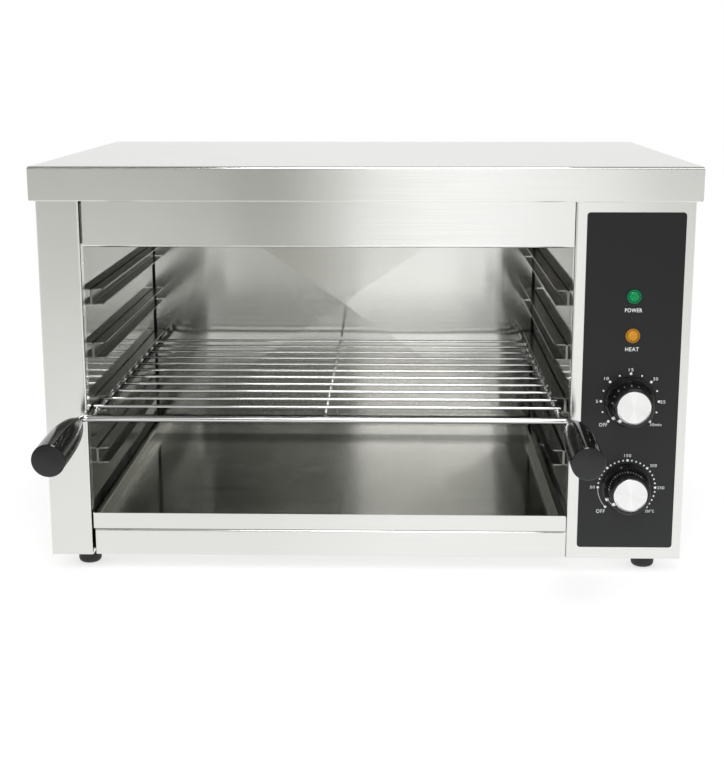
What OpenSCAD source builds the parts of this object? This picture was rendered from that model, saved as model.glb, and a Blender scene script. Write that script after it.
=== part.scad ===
// Counter-top cheese melter: a steel cabinet with an open chamber, four pairs of grid racks, a wire
// grid with two handles, a crumb tray and a column with a timer, a thermostat and two lamps.
// x = 0 is the middle of the cabinet, the chamber opens towards -y and the feet stand on z = 0.

/* [Cabinet] */
// Width of the cabinet across its side panels
case_w = 590; // [480:1:720]
// Depth of the cabinet from the front faces to the back of the rear panel
case_d = 402; // [330:1:480]
// Height of the cabinet from its underside to the underside of the lid plate
case_h = 362.6; // [330:0.1:440]
// Thickness of the folded sheets
sheet = 1; // [0.8:0.1:1.2]
// Bend radius on the middle of a folded sheet
bend_r = 1.5; // [1.2:0.1:2]
// Width of the left front post
post_w = 39.1; // [30:0.1:60]
// Width of the control column
control_w = 106.7; // [98:0.1:140]
// Depth of the returns that stiffen an edge
return_w = 12; // [10:1:14]

/* [Lid] */
// Overhang of the lid past the cabinet at each side
lid_side = 5; // [4:0.5:10]
// Overhang of the lid past the front faces
lid_front = 3; // [2:0.5:10]
// Overhang of the lid past the rear panel
lid_rear = 5; // [3:0.5:12]
// Height of the lid's skirt
lid_skirt = 30.2; // [24:0.1:40]
// Radius of the lid's folded edges
lid_edge_r = 2.5; // [2:0.1:4]
// Height of the hem inside the skirt's lower edge
hem_h = 9; // [5:1:14]

/* [Front] */
// Height of the base strip under the tray
strip_h = 25.6; // [22:0.1:32]
// Height of the fascia above the opening, up to the lid plate
fascia_h = 71.4; // [60:0.1:80]
// Gap between the left post and the pieces beside it
post_gap = 2.6; // [1:0.1:4]

/* [Chamber] */
// Depth of the chamber from the front faces to its back wall
chamber_d = 382; // [320:1:382]
// Height of the side walls' lower edge above the cabinet's underside
wall_low = 50; // [46:1:56]
// Forward rise of the back wall's creases at its middle
cross_break = 3; // [1:0.5:5]
// Height of the flat edge below the back wall's creases, above the cabinet's underside
break_low = 26; // [16:1:34]
// Gap between the reflector and the lid plate
roof_gap = 32.6; // [30:0.1:40]
// Thickness of the wool above the reflector
wool_top_t = 25; // [15:1:29]
// Thickness of the wool behind the back wall
wool_back_t = 15; // [8:1:16]

/* [Racks] */
// Height of the lowest rack's lower face above the cabinet's underside
rack_first = 79.4; // [72:0.1:90]
// Height from one rack to the next
rack_pitch = 51; // [40:0.5:56]
// Height of a rack channel
rack_h = 15; // [13:0.5:20]
// Width of a rack channel's flanges
rack_flange = 11.4; // [10:0.1:16]
// Length of a rack channel
rack_len = 337; // [240:1:340]
// Distance of the racks from the front faces
rack_front = 37; // [20:1:50]
// Radius of the flanges' front corners
rack_corner_r = 5; // [2:0.5:8]
// Level that holds the grid, counted from the bottom
grid_level = 2; // [1:1:4]

/* [Grid] */
// Diameter of the grid's front rod
front_rod_d = 6; // [5:0.5:7]
// Diameter of the grid's side rods
side_rod_d = 5; // [4:0.5:6]
// Diameter of the cross wires and of the middle wire
wire_d = 3; // [2:0.5:4]
// Number of cross wires
wire_count = 11; // [7:1:11]
// Distance from one cross wire to the next
wire_pitch = 32.7; // [24:0.1:33]
// Distance of the first cross wire behind the front rod
wire_first = 32; // [20:1:34]
// Sideways play of the grid between the racks
grid_play = 5.4; // [2:0.1:8]
// Gap between the grid and the left racks as it lies
grid_left_gap = 0.4; // [0.3:0.1:1]
// Distance of the front rod before the front faces as the grid lies
grid_front = 8; // [6:0.5:20]
// Bend radius of the front rod's corners
rod_bend_r = 7; // [6:0.5:14]
// Distance of the handle rods outside the side rods
leg_out = 9; // [6:0.1:12]
// Downward tilt of the handle rods in degrees
leg_tilt = 2.6; // [0:0.1:6]

/* [Handles] */
// Length of a handle
handle_len = 103.5; // [90:0.5:140]
// Largest diameter of a handle, behind its front face
handle_d = 28.8; // [24:0.1:32]
// How far a handle's front face bulges
handle_crown = 1.5; // [0.5:0.1:3]
// Diameter of a handle's root
handle_root_d = 15.4; // [12:0.1:18]
// Distance from the front rod to the root of a handle
handle_start = 22.5; // [12:0.5:28]

/* [Tray] */
// Height of the tray's front face
tray_face_h = 15.4; // [13:0.1:16]
// Width of the rim flanges at the tray's sides and rear
tray_rim = 7.5; // [5:0.1:10]
// Gap between the tray and the chamber at each side
tray_side_gap = 1.2; // [0.8:0.1:3]
// Gap between the tray's rear rim and the back wall
tray_rear_gap = 4; // [2:0.5:10]

/* [Controls] */
// Width of the black overlay plate
overlay_w = 88; // [80:1:92]
// Height of the overlay plate
overlay_h = 312; // [280:1:330]
// Height of the overlay plate's lower edge above the cabinet's underside
overlay_low = 11.2; // [8:0.1:16]
// Distance of the controls' middle line from the cabinet's right side
control_in = 52.5; // [50:0.1:54]
// Height of the thermostat's axis above the cabinet's underside
thermostat_z = 68.9; // [60:0.1:80]
// Height from the thermostat's axis to the timer's axis
timer_up = 81.7; // [70:0.1:95]
// Height from the timer's axis to the heat lamp
heat_up = 61.5; // [50:0.1:70]
// Height from the heat lamp to the power lamp
power_up = 35.7; // [25:0.1:45]
// Diameter of the lamps' lenses
lens_d = 13.6; // [12:0.1:16]
// Diameter of a knob's skirt
knob_d = 46.6; // [40:0.1:50]
// Height of a knob's face above the front faces
knob_h = 26; // [22:0.5:30]
// Diameter of the knobs' metal caps
cap_d = 30.7; // [26:0.1:31]
// Diameter of the knobs' shafts
shaft_d = 6; // [5:0.5:7]
// Clearance around a shaft
shaft_clear = 0.05; // [0.02:0.01:0.08]

/* [Heating] */
// Diameter of the heating tubes
tube_d = 8; // [6:0.5:9]
// Distance between the legs of a heating element
leg_pitch = 40; // [36:1:42]
// Gap between the reflector and the middle of the heating tubes
tube_drop = 23; // [20:1:26]
// Distance of the first leg from the front faces
tube_first = 60; // [50:1:60]

/* [Feet and inlet] */
// Height of the feet
foot_h = 15; // [10:0.5:25]
// Diameter of the feet
foot_d = 21.5; // [18:0.5:26]
// Distance of the feet from the sides of the cabinet
foot_in = 30.5; // [24:0.5:34]
// Distance of the feet from the front and the back of the cabinet
foot_y = 26; // [20:1:50]
// Diameter of the hole through the cable gland
gland_bore = 9; // [7:0.1:10]
// Height of the cable gland above the cabinet's underside
gland_z = 40; // [34:1:60]
// Length of the cable gland outside the rear panel
gland_out = 14; // [12:1:20]

/* [Hidden] */
$fn = 48;
eps = 0.01;
seat = 0.3; // gap between a moving piece and what carries it

// Cabinet
left_x = -case_w / 2;
right_x = case_w / 2;
base_z = foot_h;
lid_z = base_z + case_h;
chamber_l = left_x + post_w;
chamber_r = right_x - control_w;
chamber_w = chamber_r - chamber_l;
chamber_mid = (chamber_l + chamber_r) / 2;
front_l = chamber_l + post_gap;
fascia_z = lid_z - fascia_h;
roof_z = lid_z - roof_gap;
pan_z = base_z + sheet;
strip_top = base_z + strip_h;
rear_flange = 16;
top_flange = 20;
wall_low_z = base_z + wall_low;
wall_fold = 8;

// Screws
foot_screw_d = 4;
foot_head_d = 7;
foot_recess = 6;
foot_recess_d = 8;
rear_screw_d = 3;
rear_screw_in = 9;
screw_clear = 0.4;
rear_screw_xs = [left_x + rear_screw_in, right_x - rear_screw_in];
rear_screw_zs = [base_z + 20, base_z + case_h / 2, lid_z - 40];
foot_xs = [left_x + foot_in, right_x - foot_in];
foot_ys = [foot_y, case_d - foot_y];

// Vents of the control column
vent_w = 5;
side_vent_len = 60;
side_vent_ys = [for (i = [0:5]) 249 + 14 * i];
side_vent_z = base_z + 225;
base_vent_len = 50;
base_vent_ys = [for (i = [0:5]) 120 + 16 * i];
louvre_w = 70;
louvre_r = 5;
louvre_zs = [for (i = [0:6]) base_z + 90 + 26 * i];

// Racks
function rack_z(level) = base_z + rack_first + (level - 1) * rack_pitch;

// Grid
grid_w = chamber_w - 2 * sheet - grid_play;
grid_mid = chamber_l + sheet + grid_left_gap + grid_w / 2;
side_rod_x = (grid_w - side_rod_d) / 2;
leg_x = side_rod_x + leg_out;
grid_z = rack_z(grid_level) + sheet + seat + side_rod_d / 2;
wire_z = grid_z + (side_rod_d + wire_d) / 2;
bar_y = -grid_front;
wire_ys = [for (i = [0:wire_count - 1]) bar_y + wire_first + i * wire_pitch];
side_rod_gap = 10; // behind the side rods' ends
side_rod_end = chamber_d - side_rod_gap;
handle_end = handle_start + handle_len;
leg_len = handle_end - 22;
handle_bore_clear = 0.05;
handle_edge = 0.6; // bevel round the front face
nose_steps = 6;
// Half section of a handle's front: [radius, depth behind the foremost point]
handle_nose = [for (i = [0:nose_steps]) [
    (handle_d / 2 - handle_edge) * i / nose_steps, handle_crown * (i / nose_steps) ^ 2
]];

// Tray
tray_bottom = strip_top + 1.4;
tray_top = strip_top + tray_face_h;
tray_w = chamber_w - 2 * tray_side_gap;
tray_end = chamber_d - tray_rear_gap;
runner_in = 14;
runner_top = tray_bottom - seat;

// Controls
control_x = right_x - control_in;
overlay_t = 0.8;
tag_w = 6;
tag_t = 0.8;
therm_z = base_z + thermostat_z;
timer_z = therm_z + timer_up;
heat_z = timer_z + heat_up;
power_z = heat_z + power_up;
neck_d = 10;
neck_hole_d = 10.6;
lamp_hole_d = 10.4;
lamp_barrel_d = 10;
knob_gap = 0.4;
cap_t = 1.6;
cap_proud = 0.4;
cap_clear = 0.2;
shaft_front = -knob_h + 8;
shaft_in = 16;

// Heating
tube_z = roof_z - tube_drop;
legs = 4;
element_ys = [tube_first, tube_first + legs * leg_pitch];
element_end_ys = [for (y = element_ys) each [y, y + (legs - 1) * leg_pitch]]; // legs through the right wall
tube_left = chamber_l + 24;
tube_right = chamber_r - 30;
comb_xs = [chamber_l + chamber_w * 0.25, chamber_l + chamber_w * 0.75];
comb_t = 1.5;
comb_hole_clear = 0.3;
bush_d = 12;
bush_clear = 0.2;

// Thermostat bulb, clipped to the right wall under the reflector
bulb_d = 6;
bulb_len = 90;
bulb_y = 210;
bulb_z = tube_z - 18;
bulb_x = chamber_r - bulb_d / 2 - 2;
capillary_d = 2;
capillary_r = 5;
capillary_y = bulb_y - 12;
grommet_d = 6;
duct_x = chamber_r + sheet + 12;
limiter_y = 305;
limiter_z = base_z + 163;

// Inlet
gland_d = 20;
gland_hex = 24;
gland_hole_clear = 0.4;
gland_at_z = base_z + gland_z;

// Middle of the whole product from the handles' faces to the gland
front_most = bar_y - max([for (p = handle_nose) (handle_end - p.y) * cos(leg_tilt) + p.x * sin(leg_tilt)]);
rear_most = case_d + gland_out;
mid_y = (front_most + rear_most) / 2;

steel = [0.80, 0.80, 0.79];
dark_steel = [0.62, 0.62, 0.61];
chromed = [0.88, 0.88, 0.88];
black = [0.07, 0.07, 0.075];

// Helpers

// Puts the middle of the product's depth on y = 0
module placed() {
    translate([0, -mid_y, 0]) children();
}

// Box between two corners
module box(low, high) {
    translate(low) cube(high - low);
}

// Round rods along the axes
module rod_x(x0, x1, y, z, d) {
    translate([x0, y, z]) rotate([0, 90, 0]) cylinder(d = d, h = x1 - x0);
}

module rod_y(x, y0, y1, z, d) {
    translate([x, y0, z]) rotate([-90, 0, 0]) cylinder(d = d, h = y1 - y0);
}

module rod_z(x, y, z0, z1, d) {
    translate([x, y, z0]) cylinder(d = d, h = z1 - z0);
}

// Round rod through a list of points, with square corners bent at radius r on its middle line
module bent_rod(points, d, r) {
    last = len(points) - 1;
    for (i = [0:last - 1]) {
        way = unit(points[i + 1] - points[i]);
        start = points[i] + (i > 0 ? r : 0) * way;
        end = points[i + 1] - (i < last - 1 ? r : 0) * way;
        rod(start, end, d);
    }
    for (i = [1:last - 1]) {
        way_in = unit(points[i] - points[i - 1]);
        way_out = unit(points[i + 1] - points[i]);
        rod_bend(way_in, points[i], way_out, d, r);
    }
}

// Straight run between two points that differ along one axis only
module rod(a, b, d) {
    low = [min(a.x, b.x), min(a.y, b.y), min(a.z, b.z)];
    long = norm(b - a);
    if (abs(b.x - a.x) > eps) rod_x(low.x, low.x + long, a.y, a.z, d);
    else if (abs(b.y - a.y) > eps) rod_y(a.x, low.y, low.y + long, a.z, d);
    else rod_z(a.x, a.y, low.z, low.z + long, d);
}

// Quarter turn at a corner, from the run that comes in to the run that goes out
module rod_bend(way_in, corner, way_out, d, r) {
    c = corner + r * (way_out - way_in);
    x = -way_out;
    y = way_in;
    z = cross(x, y);
    multmatrix([[x.x, y.x, z.x, c.x], [x.y, y.y, z.y, c.y], [x.z, y.z, z.z, c.z], [0, 0, 0, 1]])
        rotate_extrude(angle = 90) translate([r, 0]) circle(d = d);
}

function unit(v) = v / norm(v);

// Edge view of a folded sheet: its middle line runs through the points, with round square bends
module fold(points, t = sheet, r = bend_r) {
    last = len(points) - 1;
    for (i = [0:last - 1]) {
        way = unit(points[i + 1] - points[i]);
        start = points[i] + (i > 0 ? r : 0) * way;
        end = points[i + 1] - (i < last - 1 ? r : 0) * way;
        side = [-way.y, way.x] * t / 2;
        polygon([start - side, end - side, end + side, start + side]);
    }
    for (i = [1:last - 1]) fold_bend(points[i - 1], points[i], points[i + 1], t, r);
}

// Quarter ring that joins two runs of a fold
module fold_bend(before, corner, after, t, r) {
    u = unit(before - corner);
    v = unit(after - corner);
    reach = r + t;
    translate(corner + r * (u + v)) intersection() {
        difference() {
            circle(r = r + t / 2);
            circle(r = r - t / 2);
        }
        polygon([[0, 0], -reach * u, -reach * (u + v), -reach * v]);
    }
}

// Rectangle with its corner at 0,0 and round corners
module round_rect(w, h, r) {
    translate([r, 0]) square([w - 2 * r, h]);
    translate([0, r]) square([w, h - 2 * r]);
    for (x = [r, w - r], y = [r, h - r]) translate([x, y]) circle(r = r);
}

// Slot with round ends, centred, standing through the sheet below it
module slot(length, width, depth) {
    for (x = [-1, 1]) {
        translate([x * (length - width) / 2, 0, 0]) cylinder(d = width, h = depth, center = true);
    }
    cube([length - width, width, depth], center = true);
}

// Hexagon nut or flange, standing on its base along +x or +y
module hex_x(at, d, h) {
    translate(at) rotate([0, 90, 0]) cylinder(d = d, h = h, $fn = 6);
}

module hex_y(at, d, h) {
    translate(at) rotate([-90, 0, 0]) cylinder(d = d, h = h, $fn = 6);
}

// Connection tag that sticks out to +y, with its root sunk 1 mm into what carries it
module tag(at, w, t, out = 9) {
    translate([at.x - w / 2, at.y - 1, at.z - t / 2]) cube([w, out + 1, t]);
}

// Lid

// Solid block with its front, rear and side top edges rounded
module rounded_block(x0, x1, y0, y1, z0, z1, r) {
    intersection() {
        translate([x0, 0, 0]) rotate([90, 0, 90]) linear_extrude(x1 - x0) rounded_top(y0, y1, z0, z1, r);
        translate([0, y1, 0]) rotate([90, 0, 0]) linear_extrude(y1 - y0) rounded_top(x0, x1, z0, z1, r);
    }
}

module rounded_top(a0, a1, b0, b1, r) {
    translate([a0, b0]) square([a1 - a0, b1 - b0 - r]);
    translate([a0 + r, b1 - 2 * r]) square([a1 - a0 - 2 * r, 2 * r]);
    for (a = [a0 + r, a1 - r]) translate([a, b1 - r]) circle(r = r);
}

module top_cover() {
    x = case_w / 2 + lid_side;
    y0 = -lid_front;
    y1 = case_d + lid_rear;
    top = lid_z + sheet;
    low = top - lid_skirt;
    inner_r = lid_edge_r - sheet;
    color(steel) placed() {
        difference() {
            rounded_block(-x, x, y0, y1, low, top, lid_edge_r);
            rounded_block(-x + sheet, x - sheet, y0 + sheet, y1 - sheet, low - 1, lid_z, inner_r);
        }
        hem_front_rear(x, y0, y1, low);
        hem_sides(x, y0, y1, low);
    }
}

// Folded-in lower edge of the skirt, stopped short of the welded corners
module hem_front_rear(x, y0, y1, low) {
    end = 4;
    for (y = [y0 + 1.5 * sheet, y1 - 1.5 * sheet]) {
        box([-x + end, y - sheet / 2, low], [x - end, y + sheet / 2, low + hem_h]);
    }
    for (y = [y0 + sheet, y1 - sheet]) {
        rod_x(-x + end, x - end, y, low, 2 * sheet);
    }
}

module hem_sides(x, y0, y1, low) {
    end = 4;
    for (side = [-1, 1]) {
        inner = side * (x - 1.5 * sheet);
        box([inner - sheet / 2, y0 + end, low], [inner + sheet / 2, y1 - end, low + hem_h]);
        rod_y(side * (x - sheet), y0 + end, y1 - end, low, 2 * sheet);
    }
}

// Cabinet

// One folded side: inner return, front face, side and rear flange, seen from above
module side_plan(inner_x, outer_x, toward) {
    front = sheet / 2;
    rear = case_d - 1.5 * sheet;
    fold([
        [inner_x, return_w], [inner_x, front], [outer_x, front],
        [outer_x, rear], [outer_x + toward * rear_flange, rear]
    ]);
}

// Bottom flange under the side's column and the flange that carries the lid
module side_flanges(x_wall, x_low_edge, toward) {
    low = min(x_wall, x_low_edge);
    high = max(x_wall, x_low_edge);
    top_a = min(x_wall, x_wall + toward * top_flange);
    top_b = max(x_wall, x_wall + toward * top_flange);
    y0 = sheet / 2;
    y1 = case_d - 1.5 * sheet;
    box([low, y0, base_z], [high, y1, base_z + sheet]);
    box([top_a, y0, lid_z - sheet], [top_b, y1, lid_z]);
}

module rear_screw_holes(d) {
    for (x = rear_screw_xs, z = rear_screw_zs) rod_y(x, case_d - 2 * sheet - 1, case_d + 1, z, d);
}

module foot_screw_holes() {
    for (x = foot_xs, y = foot_ys) {
        rod_z(x, y, base_z - 1, base_z + 3 * sheet, foot_screw_d + screw_clear);
    }
}

module left_side_panel() {
    color(steel) placed() difference() {
        union() {
            translate([0, 0, base_z]) linear_extrude(case_h)
                side_plan(chamber_l - sheet / 2, left_x + sheet / 2, 1);
            side_flanges(left_x + sheet / 2, chamber_l - sheet, 1);
        }
        rear_screw_holes(rear_screw_d + screw_clear);
        foot_screw_holes();
    }
}

module right_side_panel() {
    color(steel) placed() difference() {
        union() {
            translate([0, 0, base_z]) linear_extrude(case_h)
                side_plan(chamber_r + sheet / 2, right_x - sheet / 2, -1);
            side_flanges(right_x - sheet / 2, chamber_r + sheet, -1);
        }
        control_holes();
        rear_screw_holes(rear_screw_d + screw_clear);
        foot_screw_holes();
        side_vents();
        base_vents();
    }
}

// Holes for the knobs' necks and the lamps
module control_holes() {
    for (z = [therm_z, timer_z]) rod_y(control_x, -2, 3, z, neck_hole_d);
    for (z = [heat_z, power_z]) rod_y(control_x, -2, 3, z, lamp_hole_d);
}

// Cooling slots of the control column
module side_vents() {
    for (y = side_vent_ys) {
        translate([right_x, y, side_vent_z]) rotate([0, 90, 0]) slot(side_vent_len, vent_w, 4 * sheet);
    }
}

module base_vents() {
    for (y = base_vent_ys) {
        translate([control_x, y, base_z]) slot(base_vent_len, vent_w, 4 * sheet);
    }
}

// Pressed louvre: a quarter-round hood that is open below
module louvre_hood(z) {
    translate([control_x - louvre_w / 2, case_d - sheet, z]) intersection() {
        difference() {
            rotate([0, 90, 0]) cylinder(r = louvre_r, h = louvre_w);
            translate([sheet, 0, 0]) rotate([0, 90, 0])
                cylinder(r = louvre_r - sheet, h = louvre_w - 2 * sheet);
        }
        cube([louvre_w, louvre_r, louvre_r]);
    }
}

module rear_panel() {
    edge = sheet + 0.5;
    color(steel) placed() difference() {
        union() {
            difference() {
                box([left_x + edge, case_d - sheet, base_z + edge], [right_x - edge, case_d, lid_z - edge]);
                for (z = louvre_zs) {
                    box([control_x - louvre_w / 2 + sheet, case_d - 2 * sheet, z],
                        [control_x + louvre_w / 2 - sheet, case_d + sheet, z + louvre_r - sheet]);
                }
            }
            for (z = louvre_zs) louvre_hood(z);
        }
        rear_screw_holes(rear_screw_d + 1);
        rod_y(control_x, case_d - 3, case_d + 1, gland_at_z, gland_d + gland_hole_clear);
    }
}

module rear_panel_screws() {
    color(dark_steel) placed() for (x = rear_screw_xs, z = rear_screw_zs) {
        rod_y(x, case_d - 8, case_d + 0.2, z, rear_screw_d);
        pan_head([x, case_d, z]);
    }
}

// Pan head with a cross recess, pointing to +y
module pan_head(at, d = 7, h = 2.4) {
    dome_low = d * 0.62;
    recess = [d * 0.55, 0.8, 2];
    translate(at) rotate([-90, 0, 0]) difference() {
        rotate_extrude() intersection() {
            translate([0, -dome_low]) circle(r = h + dome_low, $fn = 96);
            square([d / 2, h]);
        }
        for (turn = [0, 90]) rotate([0, 0, turn]) translate([0, 0, h]) cube(recess, center = true);
    }
}

module base_pan() {
    lap = 18;
    x0 = chamber_l - lap;
    x1 = chamber_r + lap;
    y0 = 4 * sheet;
    y1 = case_d - 2 * sheet;
    stiffener = 14;
    color(dark_steel) placed() difference() {
        union() {
            box([x0, return_w + sheet, pan_z], [x1, y1, pan_z + sheet]);
            box([front_l + 1, y0, pan_z], [chamber_r - 1, return_w + 2 * sheet, pan_z + sheet]);
            box([x0 + lap, y1 - sheet, pan_z], [x1 - lap, y1, pan_z + stiffener]);
        }
        foot_screw_holes();
    }
}

module base_front_strip() {
    front = sheet / 2;
    low = base_z + sheet / 2;
    high = strip_top - sheet / 2;
    color(steel) placed() translate([front_l + 0.5, 0, 0]) rotate([90, 0, 90])
        linear_extrude(chamber_r - front_l - 0.7)
        fold([[return_w + 6, low], [front, low], [front, high], [return_w + 2, high]]);
}

module front_fascia() {
    front = sheet / 2;
    low = fascia_z + sheet / 2;
    high = lid_z - sheet / 2;
    color(steel) placed() translate([front_l, 0, 0]) rotate([90, 0, 90])
        linear_extrude(chamber_r - front_l - 0.5)
        fold([[return_w + 3, low], [front, low], [front, high], [return_w + 3, high]]);
}

module control_overlay() {
    color(black) placed() difference() {
        translate([control_x - overlay_w / 2, 0, base_z + overlay_low]) rotate([90, 0, 0])
            linear_extrude(overlay_t) round_rect(overlay_w, overlay_h, 3);
        control_holes();
    }
}

// Chamber

module chamber_left_wall() {
    x = chamber_l - sheet / 2;
    color(dark_steel) placed() translate([0, chamber_d, 0]) rotate([90, 0, 0])
        linear_extrude(chamber_d - return_w)
        fold([[x - wall_fold, wall_low_z], [x, wall_low_z], [x, roof_z]]);
}

module chamber_right_wall() {
    x = chamber_r + sheet / 2;
    color(dark_steel) placed() difference() {
        translate([0, chamber_d, 0]) rotate([90, 0, 0])
            linear_extrude(chamber_d - return_w)
            fold([[x + wall_fold, wall_low_z], [x, wall_low_z], [x, roof_z]]);
        for (y = element_end_ys) rod_x(x - 2, x + 2, y, tube_z, bush_d + 2 * bush_clear);
        rod_x(x - 2, x + 2, capillary_y, bulb_z, grommet_d);
    }
}

// Cross-broken sheet: creases from its corners rise to its middle, which keeps it from drumming
module chamber_back_wall() {
    rear = chamber_d + sheet;
    color(dark_steel) placed() difference() {
        union() {
            box([chamber_l - sheet, chamber_d, pan_z + sheet], [chamber_r + sheet, rear, roof_z]);
            crease_pyramid(chamber_d, rear);
        }
        crease_pyramid(rear, rear + 1);
    }
}

// Low pyramid over a rectangle: where two gables cross, their lower slopes meet in the creases
module crease_pyramid(front, rear) {
    low = base_z + break_low;
    top = front - cross_break;
    translate([chamber_l, 0, 0]) intersection() {
        rotate([90, 0, 90]) linear_extrude(chamber_w) polygon([
            [front, low], [top, (low + roof_z) / 2], [front, roof_z], [rear, roof_z], [rear, low]
        ]);
        translate([0, 0, low]) linear_extrude(roof_z - low) polygon([
            [0, front], [chamber_w / 2, top], [chamber_w, front], [chamber_w, rear], [0, rear]
        ]);
    }
}

// Roof of the chamber: it lies on the walls, and its front flange stands on the fascia's return
module reflector() {
    front = return_w + 2.5;
    high = roof_z + sheet / 2;
    color(dark_steel) placed() difference() {
        translate([chamber_l - sheet, 0, 0]) rotate([90, 0, 90]) linear_extrude(chamber_w + 2 * sheet)
            fold([[front, fascia_z + sheet], [front, high], [chamber_d + sheet, high]]);
        for (x = [chamber_l, chamber_r + 2 * sheet])
            box([x - 2 * sheet, 0, fascia_z], [x, front + 2 * bend_r, roof_z]);
    }
}

module wool_top() {
    color([0.86, 0.84, 0.76]) placed() box([chamber_l + 4, return_w + 12, roof_z + sheet],
        [chamber_r - 4, chamber_d - 2, roof_z + sheet + wool_top_t]);
}

module wool_back() {
    color([0.86, 0.84, 0.76]) placed() box([chamber_l + 4, chamber_d + sheet, pan_z + sheet],
        [chamber_r - 4, chamber_d + sheet + wool_back_t, roof_z]);
}

// Racks

// Channel that opens towards the chamber: web on the wall, flanges with round front corners
module rack(level, wall_x, toward) {
    z0 = rack_z(level);
    color(dark_steel) placed() translate([wall_x, rack_front, z0]) difference() {
        rotate([90, 0, 0]) mirror([0, 0, 1]) linear_extrude(rack_len)
            fold([
                [toward * rack_flange, sheet / 2], [toward * sheet / 2, sheet / 2],
                [toward * sheet / 2, rack_h - sheet / 2], [toward * rack_flange, rack_h - sheet / 2]
            ]);
        rack_corner_cut(toward);
    }
}

module rack_corner_cut(toward) {
    out = 1;
    span = rack_corner_r + out;
    centre_x = toward * (rack_flange - rack_corner_r);
    translate([0, 0, -out]) linear_extrude(rack_h + 2 * out) difference() {
        translate([centre_x + (toward > 0 ? 0 : -span), -out]) square(span);
        translate([centre_x, rack_corner_r]) circle(r = rack_corner_r);
    }
}

// Heating

// Half turn between two legs, bulging towards the side given by its sign
module tube_turn(x, y, z, side) {
    translate([x, y, z]) rotate([0, 0, side > 0 ? -90 : 90]) rotate_extrude(angle = 180)
        translate([leg_pitch / 2, 0]) circle(d = tube_d);
}

// Sheathed tube with four legs, joined by three half turns, and a pin at each end
module heating_element(y0) {
    end_x = chamber_r + 26;
    outer = [0, legs - 1];
    pin_d = 3;
    pin_out = 16;
    color([0.20, 0.19, 0.18]) placed() {
        for (i = [0:legs - 1]) {
            right = (i == outer[0] || i == outer[1]) ? end_x : tube_right;
            rod_x(tube_left, right, y0 + i * leg_pitch, tube_z, tube_d);
        }
        tube_turn(tube_left, y0 + leg_pitch / 2, tube_z, -1);
        tube_turn(tube_right, y0 + leg_pitch * 1.5, tube_z, 1);
        tube_turn(tube_left, y0 + leg_pitch * 2.5, tube_z, -1);
        for (i = outer) rod_x(end_x - 1, end_x + pin_out, y0 + i * leg_pitch, tube_z, pin_d);
    }
}

// Brass bush with a hexagon head inside the chamber and a nut in the control column
module element_bushes() {
    hex = 17;
    nut_t = 5;
    bush_out = 14;
    color([0.78, 0.66, 0.36]) placed() for (y = element_end_ys) difference() {
        union() {
            rod_x(chamber_r - nut_t, chamber_r + sheet + bush_out, y, tube_z, bush_d);
            hex_x([chamber_r - nut_t, y, tube_z], hex, nut_t);
            hex_x([chamber_r + sheet, y, tube_z], hex, nut_t);
        }
        rod_x(chamber_r - nut_t - 1, chamber_r + bush_out + 6, y, tube_z, tube_d + 0.1);
    }
}

// Angles under the reflector with a hole for each leg
module element_combs() {
    y0 = tube_first - 14;
    y1 = element_end_ys[3] + 12;
    z0 = tube_z - 9;
    foot_w = 12;
    color(dark_steel) placed() for (x = comb_xs) difference() {
        union() {
            box([x, y0, z0], [x + comb_t, y1, roof_z]);
            box([x, y0, roof_z - comb_t], [x + foot_w, y1, roof_z]);
        }
        for (y = element_ys, i = [0:legs - 1])
            rod_x(x - 1, x + comb_t + 1, y + i * leg_pitch, tube_z, tube_d + 2 * comb_hole_clear);
    }
}

// Controls behind the panel

// Closed copper tube with rounded ends, and the thin tube that leads from it to the thermostat
module thermostat_bulb() {
    r = bulb_d / 2;
    run_y = 30;
    run_z = therm_z + 60;
    down_x = control_x - 8;
    color([0.72, 0.45, 0.28]) placed() {
        translate([bulb_x, bulb_y, bulb_z]) rotate([-90, 0, 0]) rotate_extrude() polygon([
            [0, 0], [r - 1.4, 0], [r - 0.4, 0.5], [r, 1.5],
            [r, bulb_len - 1.5], [r - 0.4, bulb_len - 0.5], [r - 1.4, bulb_len], [0, bulb_len]
        ]);
        bent_rod([
            [bulb_x, bulb_y + 2, bulb_z], [bulb_x, capillary_y, bulb_z], [duct_x, capillary_y, bulb_z],
            [duct_x, capillary_y, run_z], [duct_x, run_y, run_z], [down_x, run_y, run_z],
            [down_x, run_y, therm_z + 16]
        ], capillary_d, capillary_r);
    }
}

// Spring clips on the right wall that the bulb snaps into
module bulb_clips() {
    ring = 1;
    width = 8;
    tail = 8;
    end_in = 15;
    out = 10;
    color(dark_steel) placed() for (y = [bulb_y + end_in, bulb_y + bulb_len - end_in - width]) difference() {
        union() {
            rod_y(bulb_x, y, y + width, bulb_z, bulb_d + 2 * ring);
            box([bulb_x, y, bulb_z - tail], [chamber_r, y + width, bulb_z + bulb_d / 2 + ring]);
        }
        rod_y(bulb_x, y - 1, y + width + 1, bulb_z, bulb_d + 0.2);
        box([bulb_x - out, y - 1, bulb_z - out], [bulb_x - 1, y + width + 1, bulb_z + out]);
        box([bulb_x - 1, y - 1, bulb_z - out], [chamber_r - ring, y + width + 1, bulb_z - bulb_d / 2 - ring]);
    }
}

// What both rotary controls share: the neck through the panel, the plate behind it and the shaft's bore
module control_mount(z, w, h) {
    plate_t = 1.5;
    rod_y(control_x, -overlay_t, sheet + 1, z, neck_d);
    box([control_x - w / 2, sheet, z - h / 2], [control_x + w / 2, sheet + plate_t, z + h / 2]);
}

module shaft_bore(z) {
    rod_y(control_x, -3, shaft_in + 1, z, shaft_d + 2 * shaft_clear);
}

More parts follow.
